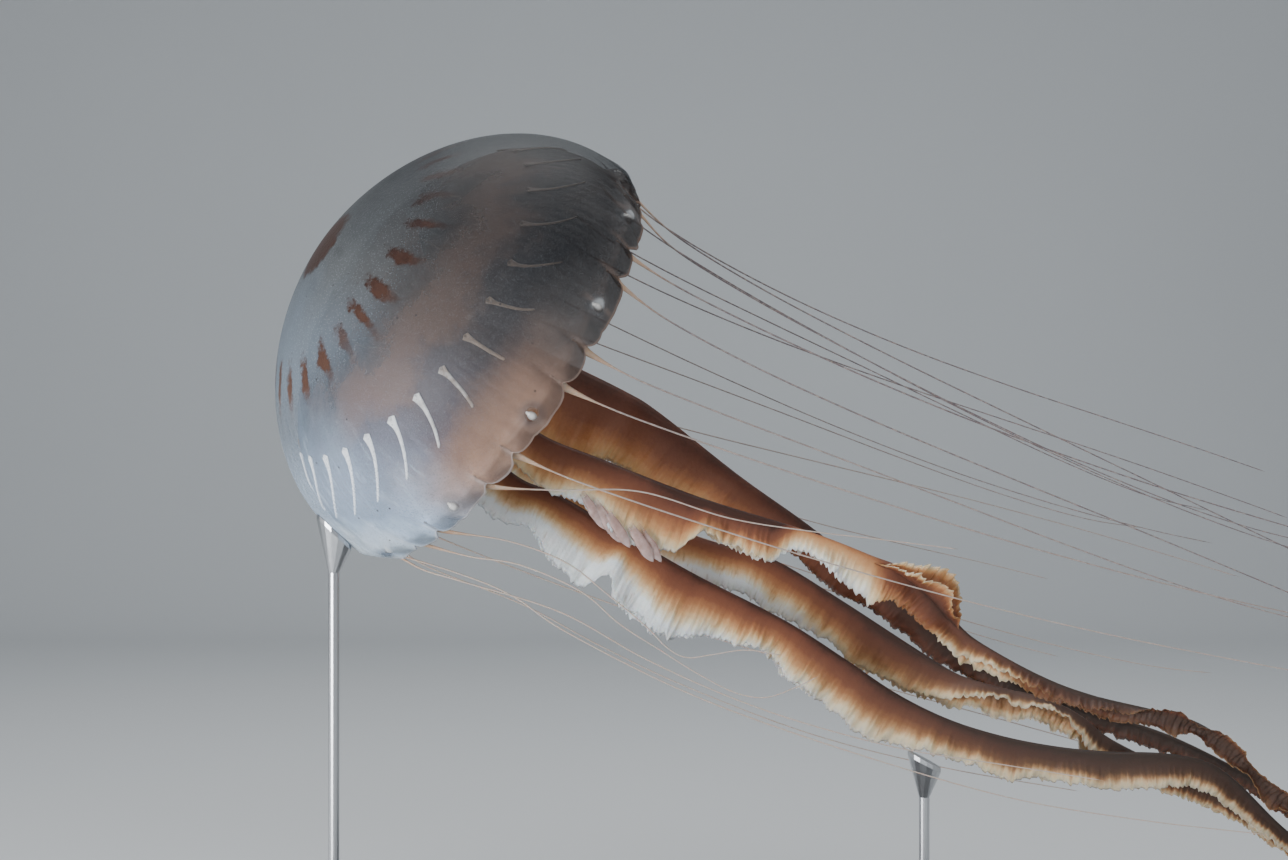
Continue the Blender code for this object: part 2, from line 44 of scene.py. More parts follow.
# The bell, as in the CAD.
CROWN_AT = Vector((-0.202, -0.026, 0.456))
MOUTH_DIP = radians(34.5)
MOUTH_TURN = radians(21.0)
BELL_RADIUS = 0.15
GIRTH_DEPTH = 0.119
TIP_DEPTH = 0.143
DOME_POWER = 1.9
SKIRT_FALL = 0.1
CAVITY_TOP = 0.024
CAVITY_RADIUS = 0.1435
RIM_DEPTH = 0.125

# The margin: twelve sectors with one sense organ, two tentacles and three lappets each.
SECTORS = 12
CLEFTS_PER_SECTOR = 3
CLEFTS = SECTORS * CLEFTS_PER_SECTOR
FIRST_ORGAN = radians(4.5)
CLEFT_ANGLE = tau / CLEFTS
SCALLOP_POWER = 0.6
LAPPET_THICK = 2.4 * MM
LAPPET_EDGE = 1.0 * MM
ROOT_INSET = LAPPET_THICK + GAP + 1.35 * MM
SEPTA = 2 * SECTORS
FIRST_SEPTUM = FIRST_ORGAN - tau / SEPTA / 2
BLOTCHES = 2 * SECTORS
FIRST_BLOTCH = radians(0.5)
HOOD_AT = 0.129  # depth at which the organs' hoods stand highest
DOME_REACH = 0.13  # mean distance from the girth's centre to the dome


# ---- shapes shared with the CAD

def lerp(a, b, t):
    return a + (b - a) * t


def clamp(t):
    return min(max(t, 0.0), 1.0)


def smooth_step(t):
    t = clamp(t)
    return t * t * (3.0 - 2.0 * t)


def closed_ends(share, first, last, ends=(0.0, 1.0)):
    """1 along a shape, rounding off to 0 over a first and a last share of its length."""
    return sqrt(clamp((share - ends[0]) / first)) * sqrt(clamp((ends[1] - share) / last))


def waver(*place):
    """A smooth, steady change from about -1 to 1 from place to place."""
    return noise.noise(Vector(place))


def in_metres(*points):
    """Points given in mm; one of two numbers, x and z, keeps the y of the point before."""
    made = []
    for point in points:
        y = point[1] if len(point) == 3 else y
        made.append((point[0] / 1000, y / 1000, point[-1] / 1000))
    return made


def bell_pose():
    """Columns: towards the viewer, towards the lower side, out of the mouth; origin: crown."""
    mouth = Vector((
        cos(MOUTH_TURN) * cos(MOUTH_DIP),
        sin(MOUTH_TURN),
        -cos(MOUTH_TURN) * sin(MOUTH_DIP),
    ))
    viewer = Vector((0, -1, 0))
    near = (viewer - mouth * viewer.dot(mouth)).normalized()
    lower = mouth.cross(near)
    turn = Matrix((near, lower, mouth)).transposed()
    return Matrix.Translation(CROWN_AT) @ turn.to_4x4()


POSE = bell_pose()


def outer_radius(depth):
    """The bell's outer radius at a depth below its crown."""
    if depth < GIRTH_DEPTH:
        rise = (GIRTH_DEPTH - depth) / GIRTH_DEPTH
        return BELL_RADIUS * (1 - rise ** DOME_POWER) ** (1 / DOME_POWER)
    return BELL_RADIUS * sqrt(1 - ((depth - GIRTH_DEPTH) / SKIRT_FALL) ** 2)


def inner_radius(depth):
    """The cavity's radius at a depth below the crown."""
    if depth >= GIRTH_DEPTH:
        return CAVITY_RADIUS
    rise = (GIRTH_DEPTH - depth) / (GIRTH_DEPTH - CAVITY_TOP)
    return CAVITY_RADIUS * sqrt(max(1 - rise * rise, 0.0))


def polar(radius, azimuth, depth):
    """A point in the bell's own axes."""
    return Vector((radius * cos(azimuth), radius * sin(azimuth), depth))


def bell_point(depth, azimuth, inset):
    return polar(outer_radius(depth) - inset, azimuth, depth)


class Route:
    """A smooth curve through points, read by distance along it."""

    FINE_STEPS = 12
    TANGENT_REACH = 0.004

    def __init__(self, points):
        points = [Vector(point) for point in points]
        before = points[0] * 2 - points[1]
        after = points[-1] * 2 - points[-2]
        padded = [before, *points, after]
        self.fine = [points[0]]
        for a, b, c, d in zip(padded, padded[1:], padded[2:], padded[3:]):
            for step in range(1, self.FINE_STEPS + 1):
                t = step / self.FINE_STEPS
                self.fine.append(0.5 * (
                    2 * b + (c - a) * t + (2 * a - 5 * b + 4 * c - d) * t * t
                    + (3 * b - a - 3 * c + d) * t ** 3
                ))
        self.along = [0.0]
        for a, b in zip(self.fine, self.fine[1:]):
            self.along.append(self.along[-1] + (b - a).length)
        self.length = self.along[-1]

    def at(self, distance):
        distance = min(max(distance, 0.0), self.length)
        i = max(bisect_left(self.along, distance), 1)
        share = (distance - self.along[i - 1]) / (self.along[i] - self.along[i - 1])
        return self.fine[i - 1].lerp(self.fine[i], share)

    def tangent(self, distance):
        ahead = self.at(distance + self.TANGENT_REACH)
        return (ahead - self.at(distance - self.TANGENT_REACH)).normalized()


# ---- making pieces

WELD = 0.002 * MM
SLIVER = 0.0005 * MM


def grid_shape(bm, across, along, place, layers=()):
    """Bends a grid: place(u, v) gives each vertex's point, and the values of the named layers."""
    keys = [bm.verts.layers.float.get(name) or bm.verts.layers.float.new(name) for name in layers]
    new = bmesh.ops.create_grid(bm, x_segments=across, y_segments=along, size=0.5)["verts"]
    for vertex in new:
        u = vertex.co.x + 0.5
        v = vertex.co.y + 0.5
        point, values = place(u, v)
        vertex.co = point
        for key, value in zip(keys, values):
            vertex[key] = value
    bmesh.ops.remove_doubles(bm, verts=new, dist=WELD)


def add_object(name, data):
    made = bpy.data.objects.new(name, data)
    bpy.context.scene.collection.objects.link(made)
    return made


def add_mesh(name, bm, material):
    bmesh.ops.recalc_face_normals(bm, faces=bm.faces)
    mesh = bpy.data.meshes.new(name)
    bm.to_mesh(mesh)
    bm.free()
    mesh.shade_smooth()
    mesh.materials.append(material)
    return add_object(name, mesh)


def finish_piece(name, bm, material, nodes=(), pose=None):
    """A smooth mesh that rides on the frame and stands for its CAD nodes, if it has any.

    All are closed but arm_1_fingers, whose lobes each have a narrow open seam lengthways.
    """
    if pose:
        bmesh.ops.transform(bm, matrix=pose, verts=bm.verts)
    bmesh.ops.dissolve_degenerate(bm, edges=bm.edges, dist=SLIVER)
    piece = add_mesh(name, bm, material)
    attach(piece, "root")
    if nodes:
        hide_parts(*nodes)


# ---- shading

def math_operator(operation, swapped=False):
    """Makes a Python operator of Shade out of a math node."""
    def apply(self, other):
        return self.math(operation, *((other, self) if swapped else (self, other)))
    return apply


class Shade:
    """A node's output that Python's operators work on."""

    def __init__(self, tree, socket=None):
        self.tree = tree
        self.socket = socket

    def node(self, kind, settings=None, inputs=None, output=0):
        """Any node: its settings first, then the values or links of its sockets."""
        made = self.tree.nodes.new(kind)
        for name, value in (settings or {}).items():
            if name == "stops":
                self.set_stops(made.color_ramp, value)
            else:
                setattr(made, name, value)
        for key, value in (inputs or {}).items():
            if isinstance(value, Shade):
                self.tree.links.new(value.socket, made.inputs[key])
            else:
                made.inputs[key].default_value = value
        return Shade(self.tree, made.outputs[output])

    @staticmethod
    def set_stops(ramp, stops):
        while len(ramp.elements) < len(stops):
            ramp.elements.new(1.0)
        for element, (place, colour) in zip(ramp.elements, stops):
            element.position = place
            element.color = (*colour, 1.0)

    def math(self, operation, *values):
        return self.node("ShaderNodeMath", {"operation": operation}, dict(enumerate(values)))

    __add__ = math_operator("ADD")
    __radd__ = math_operator("ADD", swapped=True)
    __sub__ = math_operator("SUBTRACT")
    __rsub__ = math_operator("SUBTRACT", swapped=True)
    __mul__ = math_operator("MULTIPLY")
    __rmul__ = math_operator("MULTIPLY", swapped=True)
    __truediv__ = math_operator("DIVIDE")
    __pow__ = math_operator("POWER")

    def smooth(self, low, high, start=0.0, end=1.0):
        """Eases from start to end as the value goes from low to high."""
        return self.node(
            "ShaderNodeMapRange", {"interpolation_type": "SMOOTHSTEP"},
            {0: self, 1: low, 2: high, 3: start, 4: end},
        )

    def read(self, name):
        """A named value of the mesh."""
        return self.node("ShaderNodeAttribute", {"attribute_name": name}, {}, "Fac")

    def axis(self, number):
        return self.node("ShaderNodeSeparateXYZ", {}, {0: self}, number)

    def ramp(self, *stops):
        return self.node("ShaderNodeValToRGB", {"stops": stops}, {0: self})

    def mix(self, first, second):
        """The first colour where this value is 0, the second where it is 1."""
        first, second = (
            colour if isinstance(colour, Shade) else (*colour, 1.0) for colour in (first, second)
        )
        return self.node("ShaderNodeMix", {"data_type": "RGBA"}, {0: self, 6: first, 7: second}, 2)

    def noise(self, scale, detail=2.0, rough=0.5):
        inputs = {"Vector": self, "Scale": scale, "Detail": detail, "Roughness": rough}
        return self.node("ShaderNodeTexNoise", {}, inputs, "Fac")

    def spots(self, scale, size):
        """1 on round spots scattered in cells of 1 / scale."""
        inputs = {"Vector": self, "Scale": scale}
        distance = self.node("ShaderNodeTexVoronoi", {}, inputs, "Distance")
        return 1 - distance.smooth(size * 0.6, size)

    def chance(self, seed):
        """A steady random value from 0 to 1 for each number."""
        settings = {"noise_dimensions": "1D"}
        return self.node("ShaderNodeTexWhiteNoise", settings, {"W": self + seed}, "Value")

    def feed(self, **sockets):
        """Links values to the material's shader."""
        inputs = self.tree.nodes["Principled BSDF"].inputs
        for key, value in sockets.items():
            self.tree.links.new(value.socket, inputs[key.replace("_", " ")])

    def bump(self, distance, strength):
        """Makes this value the material's fine height."""
        inputs = {"Height": self, "Distance": distance, "Strength": strength}
        self.feed(Normal=self.node("ShaderNodeBump", {}, inputs, "Normal"))


def start_material(name, **constants):
    """A new material and its coordinates; constants go on the shader's own sockets."""
    material = bpy.data.materials.new(name)
    material.use_nodes = True
    shader = material.node_tree.nodes["Principled BSDF"]
    for key, value in constants.items():
        shader.inputs[key.replace("_", " ")].default_value = value
    return material, Shade(material.node_tree).node("ShaderNodeTexCoord", output="Object")


class BellMap:
    """At a shading point: azimuth, span from the axis, depth, and arc from the crown."""

    def __init__(self, space):
        turned = space.node(
            "ShaderNodeMapping", {"vector_type": "TEXTURE"},
            {"Vector": space, "Location": POSE.to_translation(), "Rotation": POSE.to_euler()},
        )
        x, y, self.depth = (turned.axis(i) for i in range(3))
        self.azimuth = space.math("ARCTAN2", y, x)
        self.span = space.math("SQRT", x * x + y * y)
        self.arc = space.math("ARCTAN2", self.span, GIRTH_DEPTH - self.depth) * DOME_REACH

    def repeat(self, count, first, azimuth):
        """Side distance to the nearest of count meridians, and that meridian's number."""
        turns = (azimuth - first) * (count / tau) + count
        number = turns.math("FLOOR", turns + 0.5)
        return (turns - number) * self.span * (tau / count), number


def bell_material():
    """Bluish jelly with red-brown blotches; brown stomach and purple muscle on the lining; light
    from the lower left and shade towards the upper right are painted in.
    """
    material, space = start_material(
        "bell_jelly", Roughness=0.4, IOR=1.34, Specular_IOR_Level=0.28,
    )
    bell = BellMap(space)
    inside = space.read("inside")
    hem = space.read("hem")
    cloud = space.noise(22, 3)
    wobble = space.noise(75, 3) - 0.5
    rough = space.noise(330, 3, 0.6) - 0.5
    grain = space.spots(700, 0.3)
    sideways = space.axis(0)
    height = space.axis(2)

    # Painted light and shade (lit): lighter and bluer low on the left, where the key light falls,
    # darker and clearer towards the upper right; the milky tone is partly the jelly's own. The
    # skin's colours and the film's opacity below follow lit.
    lit = (0.42 - height - 0.6 * (sideways + 0.1) + 0.05 * (cloud - 0.5)).smooth(-0.1, 0.2)
    skin = (lit + 0.1 * rough).ramp(
        (0.0, (0.016, 0.018, 0.021)), (0.4, (0.088, 0.094, 0.098)),
        (0.75, (0.145, 0.178, 0.215)), (1.0, (0.15, 0.205, 0.27)),
    )
    # Painted light: bluish white on the lowest, most lit part, partly the jelly's milky tone.
    milk_and_painted_light = lit.smooth(0.72, 0.99) * bell.arc.smooth(0.122, 0.168)
    skin = milk_and_painted_light.mix(skin, (0.6, 0.78, 1.0))
    # Painted light: near white along the very bottom of the lit side.
    painted_bottom_light = (0.292 + 0.02 * wobble - height).smooth(0.0, 0.03) * lit.smooth(0.8, 0.97)
    skin = (painted_bottom_light * 0.85).mix(skin, (0.85, 0.95, 1.0))
    # Pale streaks, shown only where the painted light falls.
    strand = space.node("ShaderNodeCombineXYZ", {}, {0: bell.azimuth * 26, 1: bell.depth * 45})
    strands_and_light = strand.noise(1.0, 3, 0.6).smooth(0.5, 0.74) * bell.arc.smooth(0.1, 0.15)
    strands_and_light = strands_and_light * lit.smooth(0.7, 0.95)
    skin = (strands_and_light * 0.4).mix(skin, (0.82, 0.92, 1.0))
    blush = bell.depth.smooth(0.085, 0.118) * lit.smooth(0.15, 0.45)
    blush = blush * lit.smooth(0.78, 0.95, 1.0, 0.0)
    skin = blush.mix(skin, (0.37, 0.235, 0.18))
    flecks = space.spots(560, 0.36) * bell.arc.smooth(0.09, 0.115) * lit.smooth(0.6, 0.9)
    skin = (flecks * 0.5).mix(skin, (0.09, 0.115, 0.15))
    skin = (grain * 0.35).mix(skin, lit.mix((0.12, 0.13, 0.145), (0.42, 0.46, 0.5)))
    film = 0.85 - 0.05 * lit - (0.28 + 0.24 * lit) * bell.arc.smooth(0.084, 0.128) + 0.1 * grain
    film = film + 0.15 * flecks + 0.12 * strands_and_light
    film = film + 0.12 * rough * (1 - lit) + 0.32 * painted_bottom_light

    # Radial blotches, darkest at the crown's end and fading out along a tail.
    turned = bell.azimuth + 0.13 * space.math("SINE", bell.azimuth).smooth(0.0, 0.6)
    side, number = bell.repeat(BLOTCHES, FIRST_BLOTCH, turned)
    place = number.chance(3.0)
    size = number.chance(7.0)
    reach = (bell.arc - 0.0865 - 0.005 * place) / (0.026 + 0.008 * size)
    half = 0.0042 + 0.001 * lit - 0.0016 * reach.smooth(0.3, 1.0)
    away = ((reach - 0.46) / 0.54) ** 4.0 + ((side + 0.01 * wobble) / half) ** 4.0
    away = away ** 0.25 + 1.5 * wobble + 1.6 * rough
    blotch = (1 - away.smooth(0.45, 1.25)) * (1 - 0.5 * reach.smooth(0.35, 1.0))
    blotch = blotch * (0.62 + 0.38 * size.smooth(0.05, 0.35)) * 1.15
    apex = 1 - (bell.arc + 0.03 * wobble + 0.01 * rough).smooth(0.02, 0.027)
    # Painted light: the blotches' brown is lighter where lit is high, darker maroon where it is
    # low.
    brown = lit + 0.3 * (reach - 0.5) + 0.5 * rough
    brown = brown.mix((0.022, 0.011, 0.01), (0.118, 0.06, 0.041))
    brown = apex.mix(brown, (0.046, 0.023, 0.017))
    pigment = space.math("MAXIMUM", blotch, apex)
    freckle = space.spots(90, 0.08)
    skin = pigment.mix(skin, brown)
    skin = freckle.mix(skin, (0.045, 0.042, 0.045))
    cleft_side, _ = bell.repeat(CLEFTS, FIRST_ORGAN, bell.azimuth)
    cleft_side = space.math("ABSOLUTE", cleft_side)
    crease = 1 - cleft_side.smooth(0.0004, 0.0028)
    crease = crease * (bell.depth + 0.02 * wobble).smooth(0.112, 0.132)
    # Painted shade: darker grey-blue in the middle of each lappet on the lit side, on skin and
    # lining, to show its bulge.
    lobe = cleft_side.smooth(0.003, 0.008) * bell.depth.smooth(0.116, 0.13)
    lobe = lobe * lit.smooth(0.68, 0.95)
    skin = (lobe * 0.5).mix(skin, (0.2, 0.26, 0.33))
    # A pinkish rim along the hem and the creases, which turns into a painted highlight, near
    # white, on the lit side.
    rim = space.math("MAXIMUM", hem.smooth(0.8, 0.95), 0.65 * crease)
    rim_tone_and_highlight = lit.ramp(
        (0.0, (0.26, 0.17, 0.13)), (0.6, (0.56, 0.42, 0.36)), (1.0, (0.86, 0.91, 0.96)),
    )
    skin = (rim * 0.85).mix(skin, rim_tone_and_highlight)
    film = space.math("MAXIMUM", film, 0.86 * space.math("MAXIMUM", pigment, freckle))
    film = space.math("MAXIMUM", film, 0.85 * rim)

    # The lining, by depth: stomach, muscle band, then paler flesh down to the margin; a shaded
    # copy and two lit copies, mixed by lit, paint light and shade.
    pouches = space.math("SINE", bell.azimuth * SECTORS)
    level = (bell.depth + 0.0045 * pouches + 0.03 * wobble + 0.008 * rough) * (1 / 0.15)
    lining_shaded = level.ramp(
        (0.2, (0.036, 0.038, 0.038)), (0.32, (0.15, 0.086, 0.06)), (0.4, (0.14, 0.076, 0.052)),
        (0.51, (0.03, 0.021, 0.02)), (0.6, (0.014, 0.011, 0.013)), (0.76, (0.046, 0.029, 0.023)),
        (0.96, (0.12, 0.07, 0.048)),
    )
    lining_lit = level.ramp(
        (0.2, (0.16, 0.16, 0.165)), (0.33, (0.37, 0.2, 0.13)), (0.42, (0.32, 0.16, 0.108)),
        (0.48, (0.14, 0.075, 0.08)), (0.6, (0.19, 0.105, 0.11)), (0.7, (0.44, 0.25, 0.175)),
        (0.84, (0.74, 0.48, 0.35)), (0.96, (0.74, 0.59, 0.52)),
    )
    lining = (lit ** 1.6).mix(lining_shaded, lining_lit)
    lining_most_lit = level.ramp(
        (0.35, (0.25, 0.31, 0.385)), (0.52, (0.165, 0.175, 0.23)), (0.66, (0.19, 0.225, 0.29)),
        (0.84, (0.58, 0.72, 0.92)),
    )
    lining = lit.smooth(0.74, 0.96).mix(lining, lining_most_lit)
    lining = (lobe * 0.55).mix(lining, (0.2, 0.26, 0.34))
    lining = (grain * 0.26).mix(lining, lit.mix((0.09, 0.085, 0.1), (0.46, 0.42, 0.48)))
    veil = level.smooth(0.15, 0.4, 0.22, 0.86) + level.smooth(0.4, 0.5, 0.0, 0.11)
    veil = veil - level.smooth(0.6, 0.95, 0.0, 0.18) + 0.14 * rough

    # A clearer window in front of each sense organ, painted darker as shade in the organ's pocket.
    organ_side, _ = bell.repeat(SECTORS, FIRST_ORGAN, bell.azimuth)
    far = space.math(
        "SQRT", ((organ_side + 0.001) / 0.0095) ** 2.0 + ((bell.depth - HOOD_AT) / 0.0075) ** 2.0,
    )
    window = 1 - (far + 1.2 * wobble).smooth(0.5, 1.2)
    centre = 1 - far.smooth(0.25, 0.6)
    skin = (window * 0.4).mix(skin, lit.mix((0.03, 0.036, 0.042), (0.2, 0.25, 0.31)))
    colour = inside.mix(skin, (window * 0.5).mix(lining, (0.045, 0.055, 0.065)))
    film = film * (1 - 0.45 * window) * (1 - 0.82 * centre)
    veil = veil * (1 - 0.8 * centre)
    space.feed(Base_Color=colour, Alpha=film * (1 - inside) + veil * inside)
    ridges = space.math("SINE", bell.azimuth * (6 * SEPTA)) * bell.depth.smooth(0.05, 0.11)
    (grain * 0.3 + rough + ridges * 0.25).bump(0.5 * MM, 0.6)
    return material


def septum_material():
    """Opaque tissue, cream on the lower side and browner on the upper, as painted light and shade;
    the palest also glow a little, as painted light.
    """
    material, space = start_material(
        "septum_cream", Roughness=0.45, Emission_Strength=0.5,
    )
    tone = space.read("tone")
    pale = tone + 0.5 * (space.noise(260, 3) - 0.5)
    cream = pale.ramp(
        (0.0, (0.15, 0.105, 0.08)), (0.5, (0.42, 0.31, 0.23)), (0.85, (0.96, 0.93, 0.89)),
    )
    # Painted light: the palest septa glow bluish white.
    space.feed(Base_Color=cream, Emission_Color=pale.ramp(
        (0.55, (0.0, 0.0, 0.0)), (0.95, (0.9, 0.95, 1.0)),
    ))
    space.noise(700, 2).bump(0.2 * MM, 0.5)
    return material


def organ_material():
    """White clubs, faintly cream in patches."""
    material, space = start_material("organ_white", Roughness=0.35, Coat_Weight=0.3)
    space.feed(Base_Color=space.noise(500, 2).mix((0.9, 0.87, 0.82), (0.98, 0.97, 0.94)))
    space.noise(1500, 2).bump(0.1 * MM, 0.4)
    return material


FRILL_VALUES = ("reach", "along", "tone", "edge")
ARM_COLOURS = (
    (0.0, (0.05, 0.021, 0.015)), (0.18, (0.145, 0.052, 0.031)), (0.36, (0.215, 0.08, 0.042)),
    (0.52, (0.38, 0.165, 0.072)), (0.66, (0.56, 0.315, 0.145)), (0.79, (0.71, 0.52, 0.32)),
    (0.9, (0.78, 0.71, 0.58)), (1.0, (0.8, 0.82, 0.82)),
)


def arm_material():
    """Dark brown rib, paling through orange and tan to a whitish, pleated, see-through edge;
    painted shade darkens the pleats' grooves and the far end.
    """
    material, space = start_material(
        "arm_brown", Roughness=0.5, IOR=1.36, Specular_IOR_Level=0.3,
        Subsurface_Weight=0.25, Subsurface_Radius=(1.0, 0.45, 0.25), Subsurface_Scale=4 * MM,
    )
    reach, along, tone, edge = map(space.read, FRILL_VALUES)
    patch = space.noise(45, 3) - 0.5
    fuzz = space.noise(420, 3, 0.6) - 0.5
    strand = {0: along * 330, 1: reach * 2.0, 2: tone * 3.0}
    strand = space.node("ShaderNodeCombineXYZ", {}, strand)
    streak = strand.noise(1.0, 3, 0.6) - 0.5
    frill = reach.smooth(0.3, 0.85)
    paled = reach + tone + 0.22 * patch + 0.22 * streak * frill + 0.1 * fuzz
    colour = paled.ramp(*ARM_COLOURS)
    # Brown streaks along the valleys of the pleat bump: partly the arm's own streaks, partly
    # painted shade in the grooves.
    streaks_and_groove_shade = (0.5 - streak).smooth(0.55, 0.78) * frill
    colour = (streaks_and_groove_shade * 0.5).mix(colour, (0.26, 0.15, 0.08))
    gold = along.smooth(0.26, 0.42) * paled.smooth(0.72, 0.95)
    colour = (gold * 0.55).mix(colour, (0.74, 0.53, 0.27))
    # Painted shade: each arm darker along its far part, where the light falls off.
    far_end_shade = along.smooth(0.27, 0.54) * (0.84 - 0.62 * paled.smooth(0.5, 0.8))
    colour = far_end_shade.mix(colour, (0.046, 0.036, 0.03))
    clear = edge.smooth(0.78, 1.0, 0.0, 0.4) * (0.8 + 2.0 * fuzz)
    space.feed(Base_Color=colour, Alpha=1 - clear)
    (streak * frill + fuzz * 0.6).bump(0.6 * MM, 0.7)
    return material


def finger_material():
    """Pinkish, half-clear flesh with fine veins."""
    material, space = start_material(
        "finger_pink", Roughness=0.42, Subsurface_Weight=0.3, Subsurface_Radius=(1.0, 0.5, 0.4),
        Subsurface_Scale=3 * MM,
    )
    along = space.read("along")
    veins = space.noise(200, 3)
    flesh = veins.smooth(0.1, 0.9).mix((0.33, 0.19, 0.16), (0.54, 0.39, 0.36))
    space.feed(Base_Color=(along.smooth(0.6, 1.0) * 0.6).mix(flesh, (0.7, 0.58, 0.56)))
    space.feed(Alpha=along.smooth(0.1, 0.45, 0.0, 0.82) + 0.3 * (veins - 0.5))
    veins.bump(0.3 * MM, 0.6)
    return material


def tentacle_material():
    """Peach roots thinning to threads: cream on the lower side, darker on the upper, as painted
    light and shade.
    """
    material, space = start_material(
        "tentacle_tan", Roughness=0.45, Subsurface_Weight=0.2, Subsurface_Scale=1 * MM,
    )
    along = space.read("along")
    tone = space.read("tone")
    beads = space.noise(420, 2)
    # Painted shade: the threads darker on the upper side, cream on the lower.
    thread = tone.mix((0.12, 0.095, 0.1), (0.47, 0.39, 0.33))
    root = along.smooth(0.006, 0.015).mix((0.19, 0.125, 0.095), (0.5, 0.33, 0.22))
    colour = along.smooth(0.015, 0.06).mix(root, thread)
    colour = (0.35 * beads.smooth(0.4, 0.7)).mix(colour, (0.55, 0.46, 0.4))
    space.feed(Base_Color=colour)
    beads.bump(0.2 * MM, 0.6)
    return material


def paint_material():
    """Satin charcoal paint over fine sanding."""
    material, space = start_material(
        "stand_paint", Coat_Weight=0.15, Coat_Roughness=0.3,
    )
    mottle = space.noise(14, 4)
    peel = space.noise(260, 3)
    space.feed(Base_Color=mottle.mix((0.03, 0.032, 0.036), (0.048, 0.05, 0.055)))
    space.feed(Roughness=0.42 + 0.16 * mottle)
    peel.bump(0.15 * MM, 0.5)
    return material


def metal_material():
    """Steel rod, drawn lengthways."""
    material, space = start_material("rod_steel", Metallic=1.0)
    stretched = space.node("ShaderNodeMapping", {}, {"Vector": space, "Scale": (1.0, 1.0, 0.02)})
    lines = stretched.noise(900, 3, 0.7)
    space.feed(Base_Color=lines.mix((0.5, 0.51, 0.53), (0.66, 0.67, 0.68)))
    space.feed(Roughness=0.24 + 0.18 * lines)
    lines.bump(0.05 * MM, 0.5)
    return material


# ---- bell

DOME_STATIONS = 44
SKIRT_STATIONS = 16
BELL_TURNS = CLEFTS * 12
FURROW_TOP = 0.092
FURROW_DEPTH = 2.6 * MM
FURROW_WIDTH = 2.6 * MM
HOOD_HEIGHT = 1.8 * MM
HOOD_WIDTH = 8.0 * MM
HOOD_SPAN = 0.008
CREASE_SIDE = 10.5 * MM
CREASE_DEPTH = 2.4 * MM
CREASE_WIDTH = 1.8  # mm
CURL = 3.4 * MM
PUFF = 1.5 * MM
PUFF_AT = 0.128
PUFF_SPAN = 0.009
CRUMPLE = 1.0 * MM
HOOD_CLEFT = 0.141
NOTCH_CLEFT = 0.1325
LOBE_INSET = 1 * MM
LOBE_CHANGE = 3.0 * MM


def skin_edge(place):
    """The skin's own edge: the organs' clefts are closed by hoods, the tentacles' notches stay."""
    number = int(place + 1e-6)
    share = clamp(place - number)
    ends = [NOTCH_CLEFT if n % CLEFTS_PER_SECTOR else HOOD_CLEFT for n in (number, number + 1)]
    lobe = TIP_DEPTH - LOBE_INSET + LOBE_CHANGE * waver(number % CLEFTS * 3.7, 0.5, 2.0)
    return lerp(lerp(*ends, share), lobe, sin(pi * share) ** SCALLOP_POWER)


def margin_shape(azimuth, depth, inner):
    """Where a margin vertex goes: scalloped edge, furrows at the clefts, hoods over organs."""
    place = ((azimuth - FIRST_ORGAN) / CLEFT_ANGLE) % CLEFTS
    share = clamp((depth - RIM_DEPTH) / (TIP_DEPTH - RIM_DEPTH))
    if depth > RIM_DEPTH:
        depth = lerp(RIM_DEPTH, skin_edge(place), share)
    inset = 0.0
    if inner:
        inset = lerp(BELL_RADIUS - CAVITY_RADIUS, LAPPET_THICK, smooth_step(share * 4))
        inset = lerp(inset, LAPPET_EDGE, share)
    radius = outer_radius(depth) - inset
    fade = smooth_step((depth - FURROW_TOP) / (TIP_DEPTH - FURROW_TOP))
    nearest = round(place)
    away = (place - nearest) * CLEFT_ANGLE * BELL_RADIUS
    if nearest % CLEFTS_PER_SECTOR == 0:
        hood = exp(-(away / HOOD_WIDTH) ** 2 - ((depth - HOOD_AT) / HOOD_SPAN) ** 2)
        radius += HOOD_HEIGHT * hood
        radius -= CREASE_DEPTH * fade * exp(-((away - CREASE_SIDE) / CREASE_WIDTH / MM) ** 2)
    else:
        radius -= FURROW_DEPTH * fade * exp(-(away / FURROW_WIDTH) ** 2)
    middle = sin(pi * (place % 1.0)) ** 2
    puff = PUFF * exp(-((depth - PUFF_AT) / PUFF_SPAN) ** 2)
    radius += middle * (puff - CURL * share ** 2)
    spot = Vector((cos(azimuth), sin(azimuth), 0)) * 9 + Vector((0, 0, depth * 60))
    radius += CRUMPLE * fade * noise.noise(spot * 2.1)
    return radius, depth, share


